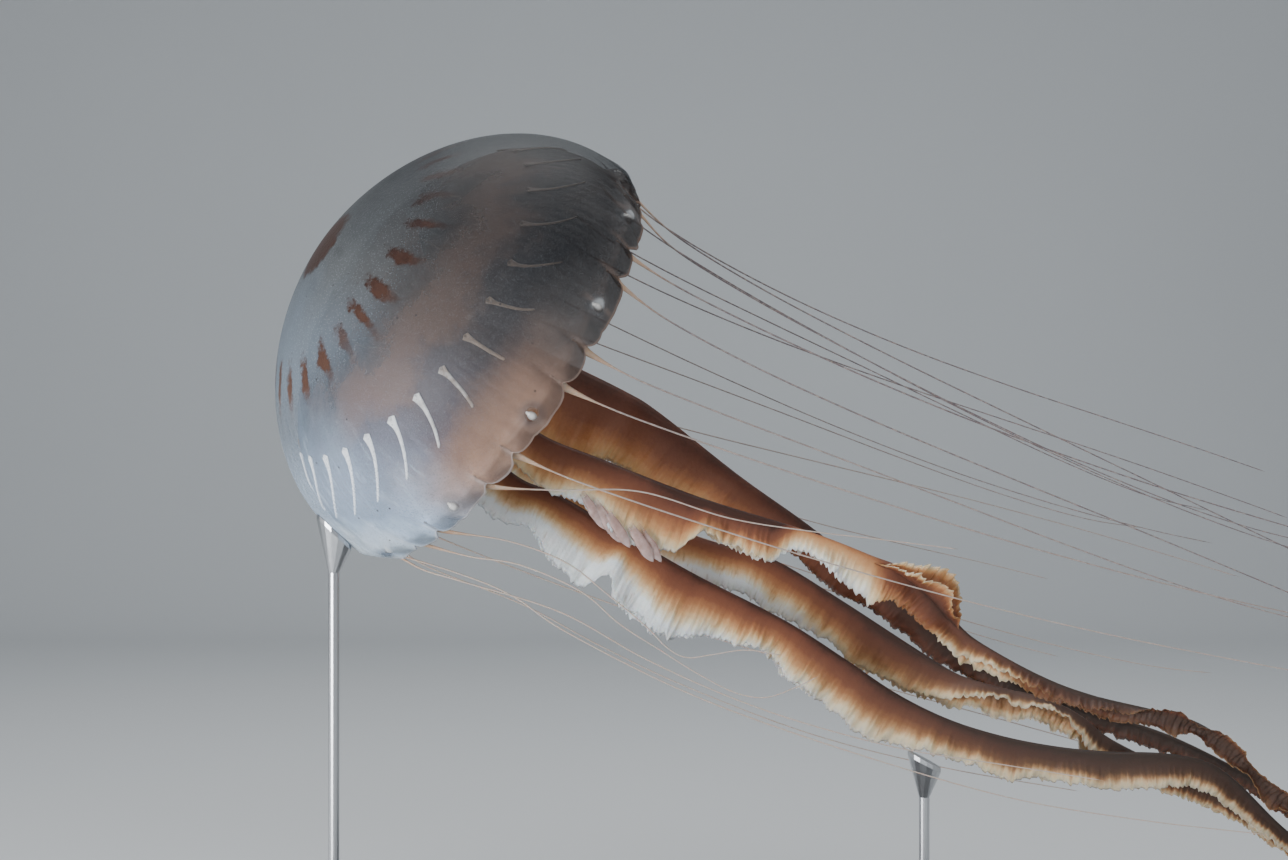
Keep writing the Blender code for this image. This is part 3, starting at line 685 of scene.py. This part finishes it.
def make_bell(material):
    """One closed skin: crown, outside, lappets and cavity lining, spun about the bell's axis."""
    bm = bmesh.new()
    dome = [i / DOME_STATIONS * pi / 2 for i in range(DOME_STATIONS + 1)]
    skirt = [i / SKIRT_STATIONS for i in range(1, SKIRT_STATIONS + 1)]
    back = [i / (SKIRT_STATIONS - 1) for i in range(SKIRT_STATIONS)]
    lining = [(1 - i / (DOME_STATIONS - 1)) * pi / 2 for i in range(DOME_STATIONS)]
    outside = [GIRTH_DEPTH * (1 - cos(angle)) for angle in dome]
    outside += [lerp(GIRTH_DEPTH, TIP_DEPTH, share) for share in skirt]
    under = [lerp(TIP_DEPTH, RIM_DEPTH, share) for share in back]
    profile = [
        *((outer_radius(depth), depth) for depth in outside),
        *((outer_radius(depth) - LAPPET_EDGE, depth) for depth in under),
        *((CAVITY_RADIUS * sin(a), lerp(GIRTH_DEPTH, CAVITY_TOP, cos(a))) for a in lining),
    ]
    points = [bm.verts.new((radius, 0, depth)) for radius, depth in profile]
    edges = [bm.edges.new(pair) for pair in zip(points, points[1:])]
    bmesh.ops.spin(
        bm, geom=points + edges, cent=(0, 0, 0), axis=(0, 0, 1), angle=tau,
        steps=BELL_TURNS, use_merge=True,
    )
    bmesh.ops.remove_doubles(bm, verts=bm.verts, dist=0.01 * MM)
    inside = bm.verts.layers.float.new("inside")
    hem = bm.verts.layers.float.new("hem")
    for vertex in bm.verts:
        radius = hypot(vertex.co.x, vertex.co.y)
        depth = vertex.co.z
        inner = outer_radius(min(depth, TIP_DEPTH)) - radius > 0.5 * MM
        inner = inner or radius < 1 * MM and depth > 0.01
        vertex[inside] = 1.0 if inner else 0.0
        if depth > FURROW_TOP and (not inner or depth > RIM_DEPTH - 0.1 * MM):
            azimuth = atan2(vertex.co.y, vertex.co.x)
            radius, depth, vertex[hem] = margin_shape(azimuth, depth, inner)
            vertex.co = polar(radius, azimuth, depth)
    nodes = ["bell"] + [f"lappets_{i}" for i in range(1, 7)]
    finish_piece("bell_skin", bm, material, nodes, POSE)


SEPTUM_TOP = 0.0755
SEPTUM_RISE = 0.0115
SEPTUM_END = 0.0995
SEPTUM_HEAD = 3.5 * MM
SEPTUM_NECK = 1.5 * MM
SEPTUM_TAIL = 1.1 * MM
SEPTUM_FORK = 1.8 * MM
SEPTUM_RAISE = 0.9 * MM
SEPTUM_CLEAR = 0.35 * MM
# How dark the far side's septa are painted, as shade.
FAR_SEPTUM_SHADE = 0.25
HEAD_LEAN = (radians(16.3), radians(8.5))
TAIL_LEAN = (radians(4.5), radians(6.0))


def leaned(azimuth, lean):
    """The septa stand closer together on the near side, and lean apart towards their tails."""
    return azimuth - lean[0] * sin(azimuth) - lean[1] * (1 - cos(azimuth))


def make_septa(material):
    """Cream ridges on the cavity wall: a flared head towards the crown, then a rounded tail."""
    bm = bmesh.new()
    for number in range(SEPTA):
        azimuth = FIRST_SEPTUM + number * tau / SEPTA
        vary = waver(number * 1.7, 3.1, 0.4)
        head = leaned(azimuth, HEAD_LEAN)
        tail = leaned(azimuth, TAIL_LEAN)
        top = SEPTUM_TOP - SEPTUM_RISE * sin(head + 0.17) ** 2 + 1.5 * MM * vary
        end = SEPTUM_END + 2.5 * MM * vary
        # Painted light and shade: paler on the lower, lit side, darker on the far side.
        tone = smooth_step(0.45 + 0.75 * sin(head))
        tone *= lerp(1.0, FAR_SEPTUM_SHADE, smooth_step(-3 * cos(head)))
        slim = lerp(0.72, 1.12, tone)

        def place(u, v):
            flare = exp(-(v / 0.13) ** 1.5)
            half = lerp(SEPTUM_NECK, SEPTUM_TAIL, v) + (SEPTUM_HEAD - SEPTUM_NECK) * flare
            half *= slim + 0.12 * waver(v * 9, number * 2.3, 1.0)
            close = closed_ends(v, 0.02, 0.035)
            turn = tau * u
            side = half * cos(turn) * close
            fork = SEPTUM_FORK * flare * abs(cos(turn)) ** 1.5
            rise = SEPTUM_RAISE * sin(turn) * close
            depth = lerp(top, end, v)
            radius = inner_radius(depth) + SEPTUM_CLEAR + rise
            side += 0.8 * MM * vary * sin(tau * v)
            angle = lerp(head, tail, v ** 1.7) + side / radius
            return polar(radius, angle, depth - fork), (tone,)

        grid_shape(bm, 14, 26, place, ("tone",))
    finish_piece("septa", bm, material, pose=POSE)


ORGAN_INSET = 3.0 * MM
ORGAN_LENGTH = 8.6 * MM
ORGAN_STEM = 0.8 * MM
ORGAN_CLUB = 1.7 * MM


def make_sense_organs(material):
    """White clubs on short stems, one under each hood."""
    for number in range(SECTORS):
        azimuth = FIRST_ORGAN + number * tau / SECTORS
        bm = bmesh.new()

        def place(u, v):
            club = sin(pi * clamp((v - 0.15) / 0.85)) ** 0.8
            width = (ORGAN_STEM + ORGAN_CLUB * club) * closed_ends(v, 0.05, 0.02)
            angle = tau * u
            middle = bell_point(RIM_DEPTH + GAP + ORGAN_LENGTH * v, azimuth, ORGAN_INSET)
            out = Vector((cos(azimuth), sin(azimuth), 0))
            across = Vector((-sin(azimuth), cos(azimuth), 0))
            return middle + out * width * cos(angle) + across * width * sin(angle), ()

        grid_shape(bm, 14, 18, place)
        name = f"sense_organ_{number + 1:02d}"
        finish_piece(f"{name}_skin", bm, material, [name], POSE)


STALK_END = 0.095
STALK_TOP_RADIUS = 0.052
STALK_END_RADIUS = 0.021
STALK_LOBE = 0.16
STALK_PLEATS = 28
STALK_PLEAT = 0.03


def make_mouth_stalk(material):
    """Four-lobed and pleated lengthways, from the cavity's top to the arms."""
    bm = bmesh.new()

    def place(u, v):
        azimuth = tau * u
        share = clamp((v - 0.06) / 0.9)
        swell = (1 - share) ** 2.2
        radius = lerp(STALK_END_RADIUS, STALK_TOP_RADIUS, swell)
        ceiling = 1 - sqrt(1 - (radius * (1 + STALK_LOBE) / CAVITY_RADIUS) ** 2)
        highest = lerp(CAVITY_TOP, GIRTH_DEPTH, ceiling) + 4 * GAP
        depth = lerp(highest, STALK_END, share)
        lobe = 1 + STALK_LOBE * cos(4 * (azimuth - pi / 4))
        lobe += STALK_PLEAT * sin(STALK_PLEATS * azimuth)
        radius *= lobe * closed_ends(v, 0.06, 0.04)
        return polar(radius, azimuth, depth), (0.18 + 0.3 * swell, v * 0.1, 0.0, 0.0)

    grid_shape(bm, 112, 60, place, FRILL_VALUES)
    finish_piece("mouth_stalk_skin", bm, material, ["mouth_stalk"], POSE)


# ---- arms

RIB_HALF = 3.6 * MM
LIP_SPREAD = 10.0 * MM
LIP_WAVE = 3.2 * MM
WAVE_LENGTH = 0.047
RIB_SHARE = 0.36
FOLD_SHARE = 0.54
TIP_SLIM = 0.45
OPENING_SHARE = 0.1
HEM_WAVE = 0.08
TOOTH = 4.0 * MM
PLEAT = 2.3 * MM
SHEET_START = 0.9 * MM
SHEET_END = 0.45 * MM
ARM_MIDDLE = 0.05
ARM_GATHER = 0.68
ARM_SWAY = 0.013
ARM_SWAY_TURN = 7.0

# Rib routes from the mouth stalk out, as in the CAD. Then, by share of length: the lips' depth in
# mm, close to the CAD's; how far they turn about the rib in degrees; how their colour pales with
# reach (pale) and all over (tone), which is partly painted shade darkening the far ends;
# and how ragged they are (fuzz).
ARMS = {
    "arm_1": dict(
        route=in_metres(
            (-115, 0, 407), (-104, -5, 387), (-88, -10, 361), (-66, -12, 338), (-28, 322),
            (36, 297), (93, -10, 279), (122, 269), (147, 259), (167, 251), (184, 237), (199, 219),
            (217, 203), (265, 178), (322, 161), (348, 154), (367, 143), (385, 127), (410, 104),
            (447, 86), (501, 80),
        ),
        depth=(
            (0, 11), (0.1, 22), (0.16, 31), (0.21, 41), (0.262, 38), (0.283, 21), (0.302, 25),
            (0.343, 25), (0.362, 14), (0.385, 15), (0.415, 23), (0.443, 26), (0.47, 22), (0.5, 20),
            (0.53, 17), (0.585, 12), (0.72, 9), (0.9, 9), (1, 4),
        ),
        turn=((0, 0), (0.5, 0), (0.575, -20), (0.66, -20), (0.74, -70), (1, -60)),
        pale=(
            (0, 0.7), (0.12, 0.78), (0.18, 1.0), (0.27, 1.05), (0.3, 1.1), (0.345, 1.1),
            (0.372, 0.5), (0.435, 0.6), (0.465, 0.6), (0.515, 0.6), (0.54, 0.95), (0.585, 1.0),
            (0.62, 0.7), (1, 0.8),
        ),
        tone=(
            (0, 0), (0.2, 0.06), (0.29, -0.22), (0.34, -0.18), (0.372, 0.5), (0.435, 0.46),
            (0.465, 0.0), (0.5, -0.1), (0.53, -0.04), (0.585, -0.04), (0.64, -0.12), (1, -0.12),
        ),
        fuzz=(
            (0, 0.8), (0.28, 0.9), (0.31, 1.2), (0.36, 1.5), (0.45, 1.6), (0.6, 1.1), (1, 1.0),
        ),
    ),
    "arm_2": dict(
        route=in_metres(
            (-125, 1, 389), (-119, 9, 370), (-110, 20, 343), (-96, 28, 321), (-79, 30, 307),
            (-55, 297), (-3, 266), (37, 243), (76, 223), (103, 208), (135, 187), (168, 165),
            (201, 149), (234, 139), (267, 133), (300, 130), (339, 129), (366, 124), (387, 111),
            (425, 75), (461, 57), (514, 51),
        ),
        depth=(
            (0, 11), (0.14, 30), (0.195, 39), (0.222, 42), (0.236, 28), (0.252, 45), (0.29, 45),
            (0.34, 33), (0.39, 25), (0.42, 30), (0.46, 35), (0.56, 25), (0.7, 22), (0.9, 12),
            (1, 4),
        ),
        turn=((0, 0), (1, 0)),
        pale=(
            (0, 0.9), (0.13, 1.35), (0.19, 1.6), (0.255, 1.55), (0.29, 1.2), (0.36, 1.0),
            (0.5, 1.08), (1, 1.12),
        ),
        tone=((0, -0.05), (0.15, 0.0), (0.35, 0.0), (0.5, -0.04), (0.65, -0.1), (1, -0.12)),
        fuzz=((0, 0.8), (0.2, 0.8), (0.3, 1.4), (0.4, 1.1), (0.6, 1.0), (1, 0.9)),
    ),
    "arm_3": dict(
        route=in_metres(
            (-136, 18, 397), (-124, 35, 382), (-107, 55, 359), (-84, 68, 333), (-57, 70, 314),
            (4, 282), (38, 267), (65, 259), (92, 250), (133, 225), (187, 190), (214, 174),
            (241, 165), (269, 159), (292, 148), (313, 133), (343, 118), (377, 104), (407, 84),
            (438, 63), (479, 49), (526, 45),
        ),
        depth=(
            (0, 11), (0.14, 26), (0.3, 30), (0.5, 30), (0.56, 24), (0.62, 20), (0.7, 17),
            (0.9, 10), (1, 4),
        ),
        turn=((0, 0), (0.52, 0), (0.59, -60), (0.66, -60), (0.72, 0), (1, 0)),
        pale=((0, 0.9), (0.22, 1.2), (0.3, 1.4), (0.4, 1.25), (0.48, 0.95), (1, 0.95)),
        tone=(
            (0, -0.05), (0.3, 0.03), (0.5, -0.1), (0.6, 0.06), (0.68, 0.1), (0.74, -0.1),
            (1, -0.12),
        ),
        fuzz=((0, 0.8), (0.5, 1.0), (0.56, 1.7), (0.7, 1.6), (0.76, 0.9), (1, 0.8)),
    ),
    "arm_4": dict(
        route=in_metres(
            (-124, 20, 414), (-107, 50, 411), (-85, 80, 402), (-58, 102, 389), (-13, 110, 367),
            (11, 352), (67, 308), (116, 273), (172, 229), (200, 204), (228, 183), (263, 165),
            (304, 149), (360, 131), (416, 103), (451, 80), (493, 61), (542, 54),
        ),
        depth=(
            (0, 11), (0.09, 46), (0.15, 57), (0.2, 55), (0.26, 42), (0.36, 27), (0.6, 14),
            (0.9, 9), (1, 4),
        ),
        turn=((0, 0), (1, 0)),
        pale=((0, 0.62), (0.32, 0.72), (0.42, 0.5), (0.7, 0.6), (1, 0.8)),
        tone=((0, -0.06), (0.1, 0.02), (0.34, 0.0), (0.44, -0.12), (1, -0.12)),
        fuzz=((0, 0.5), (0.3, 0.9), (1, 0.8)),
    ),
}
ARM_TABLES = ("depth", "turn", "pale", "tone", "fuzz", "girth")
ARM_ROWS = 1000
OUTER_COLUMNS = 17
INNER_COLUMNS = 8


def arm_route(points):
    """The rib's route: past the bell the arms draw together and sway from side to side."""
    swayed = []
    for point in points:
        x, y, z = point
        trail = max(0.0, x / points[-1][0])
        y = ARM_MIDDLE + (y - ARM_MIDDLE) * lerp(1.0, ARM_GATHER, trail)
        swayed.append((x, y + ARM_SWAY * sin(ARM_SWAY_TURN * trail), z))
    return Route(swayed)


def eased(table, share):
    """A value eased between a table's own, by share of length."""
    for (start, before), (end, after) in zip(table, table[1:]):
        if share <= end:
            break
    return lerp(before, after, smooth_step((share - start) / (end - start)))


class ArmRow:
    """One cross-section of an arm: its frame, and how its two lips hang."""

    def __init__(self, route, plan, distance, phase, ends=(0.0, 1.0)):
        share = distance / route.length
        self.distance = distance
        self.middle = route.at(distance)
        forward = route.tangent(distance)
        down = Vector((0, 0, -1))
        down = (down - forward * down.dot(forward)).normalized()
        values = {key: eased(plan[key], share) for key in ARM_TABLES if key in plan}
        turn = Matrix.Rotation(radians(values["turn"]), 3, forward)
        self.down = turn @ down
        self.across = forward.cross(self.down)
        self.tone = values["tone"]
        self.pale = values["pale"]
        full = values["depth"] * MM
        fuzz = values["fuzz"]
        slim = lerp(1.0, TIP_SLIM, share)
        opening = smooth_step(share / OPENING_SHARE)
        girth = slim * values.get("girth", 1.0)
        self.half = RIB_HALF * girth * lerp(0.8, 1.0, opening)
        spread = LIP_SPREAD * girth * lerp(0.25, 1.0, opening)
        wave = LIP_WAVE * girth * opening
        turns = tau * distance / WAVE_LENGTH + phase
        self.edges = (
            spread + wave * sin(turns),
            spread + wave * sin(turns * 1.13 + 2.0),
        )
        self.drops = tuple(
            full * (1 + HEM_WAVE * sin(turns * rate + start))
            + self.ragged(distance, seed) * opening * fuzz
            for rate, start, seed in ((0.61, 0.0, phase), (0.57, 1.5, phase + 11.0))
        )
        self.pleat = PLEAT * opening * lerp(slim, fuzz, 0.6)
        self.phase = phase
        self.close = closed_ends(share, 0.004, 0.006, ends)

    @staticmethod
    def ragged(distance, seed):
        """Length that the lip edge's fringe adds: teeth over lobes over slower changes."""
        slow = waver(distance * 45, seed, 0.0)
        lobes = waver(distance * 190, seed, 5.0)
        turns = distance / TOOTH + 0.8 * waver(distance * 60, seed, 9.0)
        teeth = (turns % 1.0 - 0.5) * (1 + waver(distance * 110, seed, 13.0))
        return (2.4 * slow + 2.6 * lobes + 1.6 * teeth) * MM

    def pleated(self, reach, side):
        """Sideways place of the pleats, growing towards the lip's edge."""
        grow = smooth_step((reach - 0.3) / 0.7)
        s = self.distance
        seed = self.phase + 7.0 * side
        swing = waver(s * 70, seed, reach * 0.8) * 1.4
        fine = waver(s * 230 + reach * 1.5, seed + 3.0, reach * 1.5) * 0.8
        tiny = waver(s * 520, seed + 6.0, reach * 2.0) * 0.3
        return self.pleat * grow * (swing + fine + tiny)

    def point(self, side, reach, inner):
        edge = self.edges[side]
        drop = self.drops[side] * reach
        crown = sqrt(clamp(1 - (1 - clamp(reach / 0.1)) ** 2))
        leaving = RIB_SHARE * 0.6
        spread = lerp(self.half, edge, smooth_step((reach - leaving) / (1 - leaving))) * crown
        if inner:
            sheet = lerp(SHEET_START, SHEET_END, reach)
            thick = lerp(spread, sheet, smooth_step((reach - FOLD_SHARE) / 0.12))
            spread -= thick
        free = smooth_step((reach - FOLD_SHARE) / 0.1) if inner else 1
        spread += self.pleated(reach, side) * free
        sign = -1 if side == 0 else 1
        return self.middle + (self.down * drop + self.across * (sign * spread)) * self.close


def frill_stations():
    """Round an arm's section: the near lip out and back to the fold, then the far lip."""
    outer = [i / OUTER_COLUMNS for i in range(OUTER_COLUMNS + 1)]
    inner = [i / INNER_COLUMNS for i in range(1, INNER_COLUMNS + 1)]
    return [
        *((0, share, False) for share in outer),
        *((0, lerp(1.0, FOLD_SHARE, share), True) for share in inner),
        *((1, lerp(FOLD_SHARE, 1.0, share), True) for share in inner),
        *((1, 1 - share, False) for share in outer),
    ]


def make_frill(name, plan, material, phase, count, nodes=(), ends=(0.0, 1.0)):
    """One frilled skin along an arm's route, between two shares of its length."""
    stations = frill_stations()
    across = len(stations) - 1
    route = arm_route(plan["route"])
    rows = [
        ArmRow(route, plan, route.length * lerp(*ends, i / count), phase, ends)
        for i in range(count + 1)
    ]
    bm = bmesh.new()

    def place(u, v):
        row = rows[round(v * count)]
        side, reach, inner = stations[round(u * across)]
        return row.point(side, reach, inner), (reach * row.pale, row.distance, row.tone, reach)

    grid_shape(bm, across, count, place, FRILL_VALUES)
    finish_piece(name, bm, material, nodes)


def make_arms(material):
    for number, (name, plan) in enumerate(ARMS.items()):
        nodes = [f"{name}_{part}" for part in ("root", "middle", "tip")]
        make_frill(f"{name}_skin", plan, material, number * 1.7, ARM_ROWS, nodes)


# A tuft of loose fringe that stands up on the nearest arm's rib, leaning to the front.
TUFT_ENDS = (0.436, 0.532)
TUFT_ROWS = 220
TUFT_SHIFT = Vector((0.0, -3.0, -4.5)) * MM
TUFT = dict(
    depth=(
        (0.436, 2), (0.46, 9), (0.476, 16), (0.492, 18), (0.508, 15), (0.522, 8), (0.532, 3),
    ),
    turn=((0.436, -100), (0.465, -138), (0.515, -150), (0.532, -165)),
    girth=((0.436, 0.05), (0.478, 0.95), (0.508, 0.95), (0.532, 0.1)),
    pale=((0.436, 0.88), (0.48, 0.8), (0.532, 0.74)),
    tone=((0.436, -0.4), (0.452, 0.04), (0.465, 0.08), (0.49, 0.0), (0.532, -0.1)),
    fuzz=((0.436, 0.3), (0.455, 0.9), (0.48, 1.5), (0.51, 1.4), (0.532, 0.3)),
)


def make_tuft(material):
    plan = {**ARMS["arm_1"], **TUFT}
    plan["route"] = [tuple(Vector(point) + TUFT_SHIFT) for point in plan["route"]]
    make_frill("arm_1_tuft", plan, material, 4.3, TUFT_ROWS, ends=TUFT_ENDS)


# Soft lobes that hang from the near lip of one arm: share of its length, length and half-width.
FINGERS = (
    (0.173, 27 * MM, 3.3 * MM), (0.186, 30 * MM, 3.8 * MM), (0.198, 27 * MM, 3.4 * MM),
    (0.221, 27 * MM, 3.8 * MM), (0.232, 23 * MM, 3.3 * MM),
)
FINGER_START = 0.8  # how far out on the lip they grow
FINGER_LEAN = radians(54)
FINGER_CLEAR = 3 * MM
FINGER_ROOT = 7 * MM
FINGER_FLATNESS = 0.42


def make_fingers(material):
    plan = ARMS["arm_1"]
    route = arm_route(plan["route"])
    bm = bmesh.new()
    for number, (share, length, half) in enumerate(FINGERS):
        row = ArmRow(route, plan, share * route.length, 0.0)
        start = row.point(0, FINGER_START, False)
        forward = route.tangent(row.distance)
        outward = -row.across
        hang = row.down * cos(FINGER_LEAN) + forward * sin(FINGER_LEAN)
        bow = Route([
            start - hang * FINGER_ROOT, start + outward * FINGER_CLEAR * 0.6,
            start + hang * length * 0.55 + outward * FINGER_CLEAR,
            start + hang * length + outward * FINGER_CLEAR * 0.5,
        ])

        def place(u, v):
            along = bow.length * v
            swell = 0.6 + 0.4 * sin(pi * clamp(v / 0.95) ** 1.8)
            swell *= 1 + 0.22 * waver(v * 6, u * 3, number * 3.3)
            tangent = bow.tangent(along)
            side = tangent.cross(outward).normalized()
            over = side.cross(tangent)
            turn = tau * u
            ring = side * cos(turn) + over * sin(turn) * FINGER_FLATNESS
            return bow.at(along) + ring * half * swell * closed_ends(v, 0.03, 0.16), (v,)

        grid_shape(bm, 16, 22, place, ("along",))
    finish_piece("arm_1_fingers", bm, material)


# ---- tentacles

ROOT_HALF_WIDTH = 2.8 * MM
ROOT_HALF_THICK = 1.2 * MM
UNDER_HEM = 0.003
FLARE_START = 0.011
ROOT_FLARE = 0.028
THREAD_RADIUS = 0.55 * MM
THREAD_TIP = 0.3 * MM
FLARE_POWER = 1.6
THREAD_ROWS = 130
THREAD_SIDES = 8

SPECIAL_ROUTES = {
    2: in_metres(
        (-50, -88, 304), (-2, -85, 303), (51, -80, 287), (100, -78, 279), (142, -76, 274),
        (190, 268),
    ),
    3: in_metres(
        (-82, -63, 272), (-48, -60, 259), (-23, 240), (1, 220), (14, -61, 207), (26, -62, 201),
        (42, -64, 203), (62, -66, 206), (84, -67, 203),
    ),
    4: in_metres(
        (-107, -52, 262), (-76, -55, 257), (-39, -56, 241), (-15, -57, 221), (10, -58, 205),
        (34, 190), (56, 179), (74, 176), (90, 181), (107, 189),
    ),
    5: in_metres(
        (-140, -13, 251), (-115, -18, 244), (-53, -21, 225), (-2, -22, 197), (48, 174), (98, 156),
        (162, 139), (225, 129), (290, -24, 119),
    ),
    6: in_metres(
        (-115, 4, 246), (-83, -4, 233), (-49, -10, 211), (28, -15, 173), (116, -18, 141),
        (225, -20, 109), (310, 94), (395, 84),
    ),
    7: in_metres(
        (-150, 62, 250), (-83, 70, 222), (-30, 77, 193), (30, 82, 164), (116, 86, 131),
        (205, 90, 108), (300, 92, 91),
    ),
}
STREAM_REACH = 0.55
REACH_CHANGE = 0.07
STREAM_DIP = radians(17.0)
UPPER_DIP = radians(8.0)
DIP_CHANGE = radians(1.8)
INWARD_DRAW = 0.45
LEAVING_PULL = 0.17
ARRIVING_PULL = 0.3
ARRIVING_DIP = radians(11.0)
DRIFT = 0.048
SWAY = 0.007
STREAM_STEPS = 8


def stream_points(root, azimuth, number):
    """The common stream: out along the bell's axis, then level with the drift."""
    upper = max(0.0, -sin(azimuth))
    reach = STREAM_REACH + REACH_CHANGE * sin(2.7 * number)
    dip = STREAM_DIP + UPPER_DIP * upper + DIP_CHANGE * sin(4.1 * number)
    end = root + Vector((reach * cos(dip), DRIFT, -reach * sin(dip)))
    draw = INWARD_DRAW * upper * (1 + 0.5 * sin(2.3 * number))
    leaving = Vector((-draw * cos(azimuth), -draw * sin(azimuth), 1)).normalized()
    leaving = POSE.to_3x3() @ leaving * LEAVING_PULL
    arriving = Vector((cos(ARRIVING_DIP), 0, -sin(ARRIVING_DIP))) * ARRIVING_PULL
    points = []
    for step in range(1, STREAM_STEPS + 1):
        t = step / STREAM_STEPS
        point = (
            root * (2 * t ** 3 - 3 * t * t + 1) + leaving * (t ** 3 - 2 * t * t + t)
            + end * (3 * t * t - 2 * t ** 3) + arriving * (t ** 3 - t * t)
        )
        point.z += SWAY * t * sin(6.5 * t + 1.9 * number)
        point.y += SWAY * t * 0.5 * cos(5.0 * t + 1.3 * number)
        points.append(point)
    return points


def make_tentacles(material):
    """A flat flared root under the lappets, then a thread that thins to its tip."""
    number = 0
    for cleft in range(CLEFTS):
        if cleft % CLEFTS_PER_SECTOR == 0:
            continue
        number += 1
        azimuth = FIRST_ORGAN + cleft * CLEFT_ANGLE
        sideways = POSE.to_3x3() @ Vector((-sin(azimuth), cos(azimuth), 0))
        roots = [
            POSE @ bell_point(depth, azimuth, ROOT_INSET)
            for depth in (RIM_DEPTH + GAP, lerp(RIM_DEPTH, TIP_DEPTH, 0.5), TIP_DEPTH)
        ]
        onward = SPECIAL_ROUTES.get(number) or stream_points(roots[-1], azimuth, number)
        route = Route(roots + list(onward))
        rows = []
        for i in range(THREAD_ROWS + 1):
            distance = route.length * (i / THREAD_ROWS) ** FLARE_POWER
            share = distance / route.length
            flare = (1 - clamp((distance - FLARE_START) / ROOT_FLARE)) ** FLARE_POWER
            flare *= smooth_step((distance - UNDER_HEM) / (FLARE_START - UNDER_HEM))
            beads = 1 + 0.12 * waver(distance * 300, number, 0)
            thread = lerp(THREAD_RADIUS, THREAD_TIP, share) * beads
            close = closed_ends(share, 0.0002, 0.004)
            forward = route.tangent(distance)
            side = (sideways - forward * sideways.dot(forward)).normalized()
            rows.append((
                route.at(distance), side * lerp(thread, ROOT_HALF_WIDTH, flare) * close,
                forward.cross(side) * lerp(thread, ROOT_HALF_THICK, flare) * close, distance,
            ))
        bm = bmesh.new()

        def place(u, v):
            middle, side, over, distance = rows[round(v * THREAD_ROWS)]
            turn = tau * u
            return middle + side * cos(turn) + over * sin(turn), (distance, pale)

        # Painted light and shade for the threads: paler on the bell's lower side, darker on its
        # upper side.
        pale = smooth_step(0.5 + 0.6 * sin(azimuth))
        grid_shape(bm, THREAD_SIDES, THREAD_ROWS, place, ("along", "tone"))
        name = f"tentacle_{number:02d}"
        finish_piece(f"{name}_skin", bm, material, [name])


# ---- stand, floor, light and camera

def finish_stand():
    paint = paint_material()
    metal = metal_material()
    looks = {"stand_base": paint, "stand_rod_bell": metal, "stand_rod_arms": metal}
    for name, material in looks.items():
        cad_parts[name].material_slots[0].material = material


BACKDROP_AT = 1.9
BACKDROP_TOP = 4.0
SWEEP_RADIUS = 0.9
SWEEP_STEPS = 24
FLOOR_HALF = 4.0


def make_floor():
    """A pale floor that sweeps up behind."""
    material, space = start_material("floor_grey", Roughness=0.85)
    space.feed(Base_Color=space.noise(3, 2).mix((0.62, 0.64, 0.65), (0.64, 0.66, 0.67)))
    bm = bmesh.new()
    profile = [(-FLOOR_HALF, 0.0), (BACKDROP_AT, 0.0)]
    for step in range(1, SWEEP_STEPS + 1):
        angle = step / SWEEP_STEPS * pi / 2
        profile.append((
            BACKDROP_AT + SWEEP_RADIUS * sin(angle), SWEEP_RADIUS * (1 - cos(angle)),
        ))
    profile.append((BACKDROP_AT + SWEEP_RADIUS, BACKDROP_TOP))
    points = [bm.verts.new((-FLOOR_HALF, y, z)) for y, z in profile]
    edges = [bm.edges.new(pair) for pair in zip(points, points[1:])]
    swept = bmesh.ops.extrude_edge_only(bm, edges=edges)["geom"]
    moved = [part for part in swept if isinstance(part, bmesh.types.BMVert)]
    bmesh.ops.translate(bm, vec=(2 * FLOOR_HALF, 0, 0), verts=moved)
    floor = add_mesh("floor", bm, material)


# Each light: its name, place, target, size, power and colour.
BELL_LIT = (-0.13, 0.0, 0.38)
ARMS_LIT = (0.15, 0.03, 0.25)
LIGHTS = (
    ("key", (-1.15, -1.15, 0.15), BELL_LIT, 0.9, 46, (0.97, 0.98, 1.0)),
    ("fill", (0.9, -1.3, 0.9), ARMS_LIT, 1.4, 9, (0.96, 0.98, 1.0)),
    ("top", (0.0, 0.3, 1.9), ARMS_LIT, 1.8, 22, (1.0, 1.0, 1.0)),
)
STUDIO_COLOUR = (0.8, 0.86, 0.93, 1.0)
STUDIO_STRENGTH = 0.33


def add_light(name, place, target, size, power, colour):
    light = bpy.data.lights.new(name, "AREA")
    light.shape = "DISK"
    light.size = size
    light.energy = power
    light.color = colour
    lamp = add_object(name, light)
    lamp.location = place
    lamp.rotation_euler = (Vector(target) - Vector(place)).to_track_quat("-Z", "Y").to_euler()


def light_scene():
    for light in LIGHTS:
        add_light(*light)
    world = bpy.data.worlds.new("studio")
    world.use_nodes = True
    background = world.node_tree.nodes["Background"].inputs
    background["Color"].default_value = STUDIO_COLOUR
    background["Strength"].default_value = STUDIO_STRENGTH
    bpy.context.scene.world = world


CAMERA_AT = (0.0, -1.264, 0.34)
CAMERA_LENS = 55.0
CAMERA_SENSOR = 36.0


def place_camera():
    camera = bpy.data.cameras.new("camera")
    camera.lens = CAMERA_LENS
    camera.sensor_width = CAMERA_SENSOR
    eye = add_object("camera", camera)
    eye.location = CAMERA_AT
    eye.rotation_euler = (pi / 2, 0, 0)
    bpy.context.scene.camera = eye


# ---- the whole

def main():
    make_bell(bell_material())
    make_septa(septum_material())
    make_sense_organs(organ_material())
    flesh = arm_material()
    make_mouth_stalk(flesh)
    make_arms(flesh)
    make_tuft(flesh)
    make_fingers(finger_material())
    make_tentacles(tentacle_material())
    finish_stand()
    make_floor()
    light_scene()
    place_camera()


main()
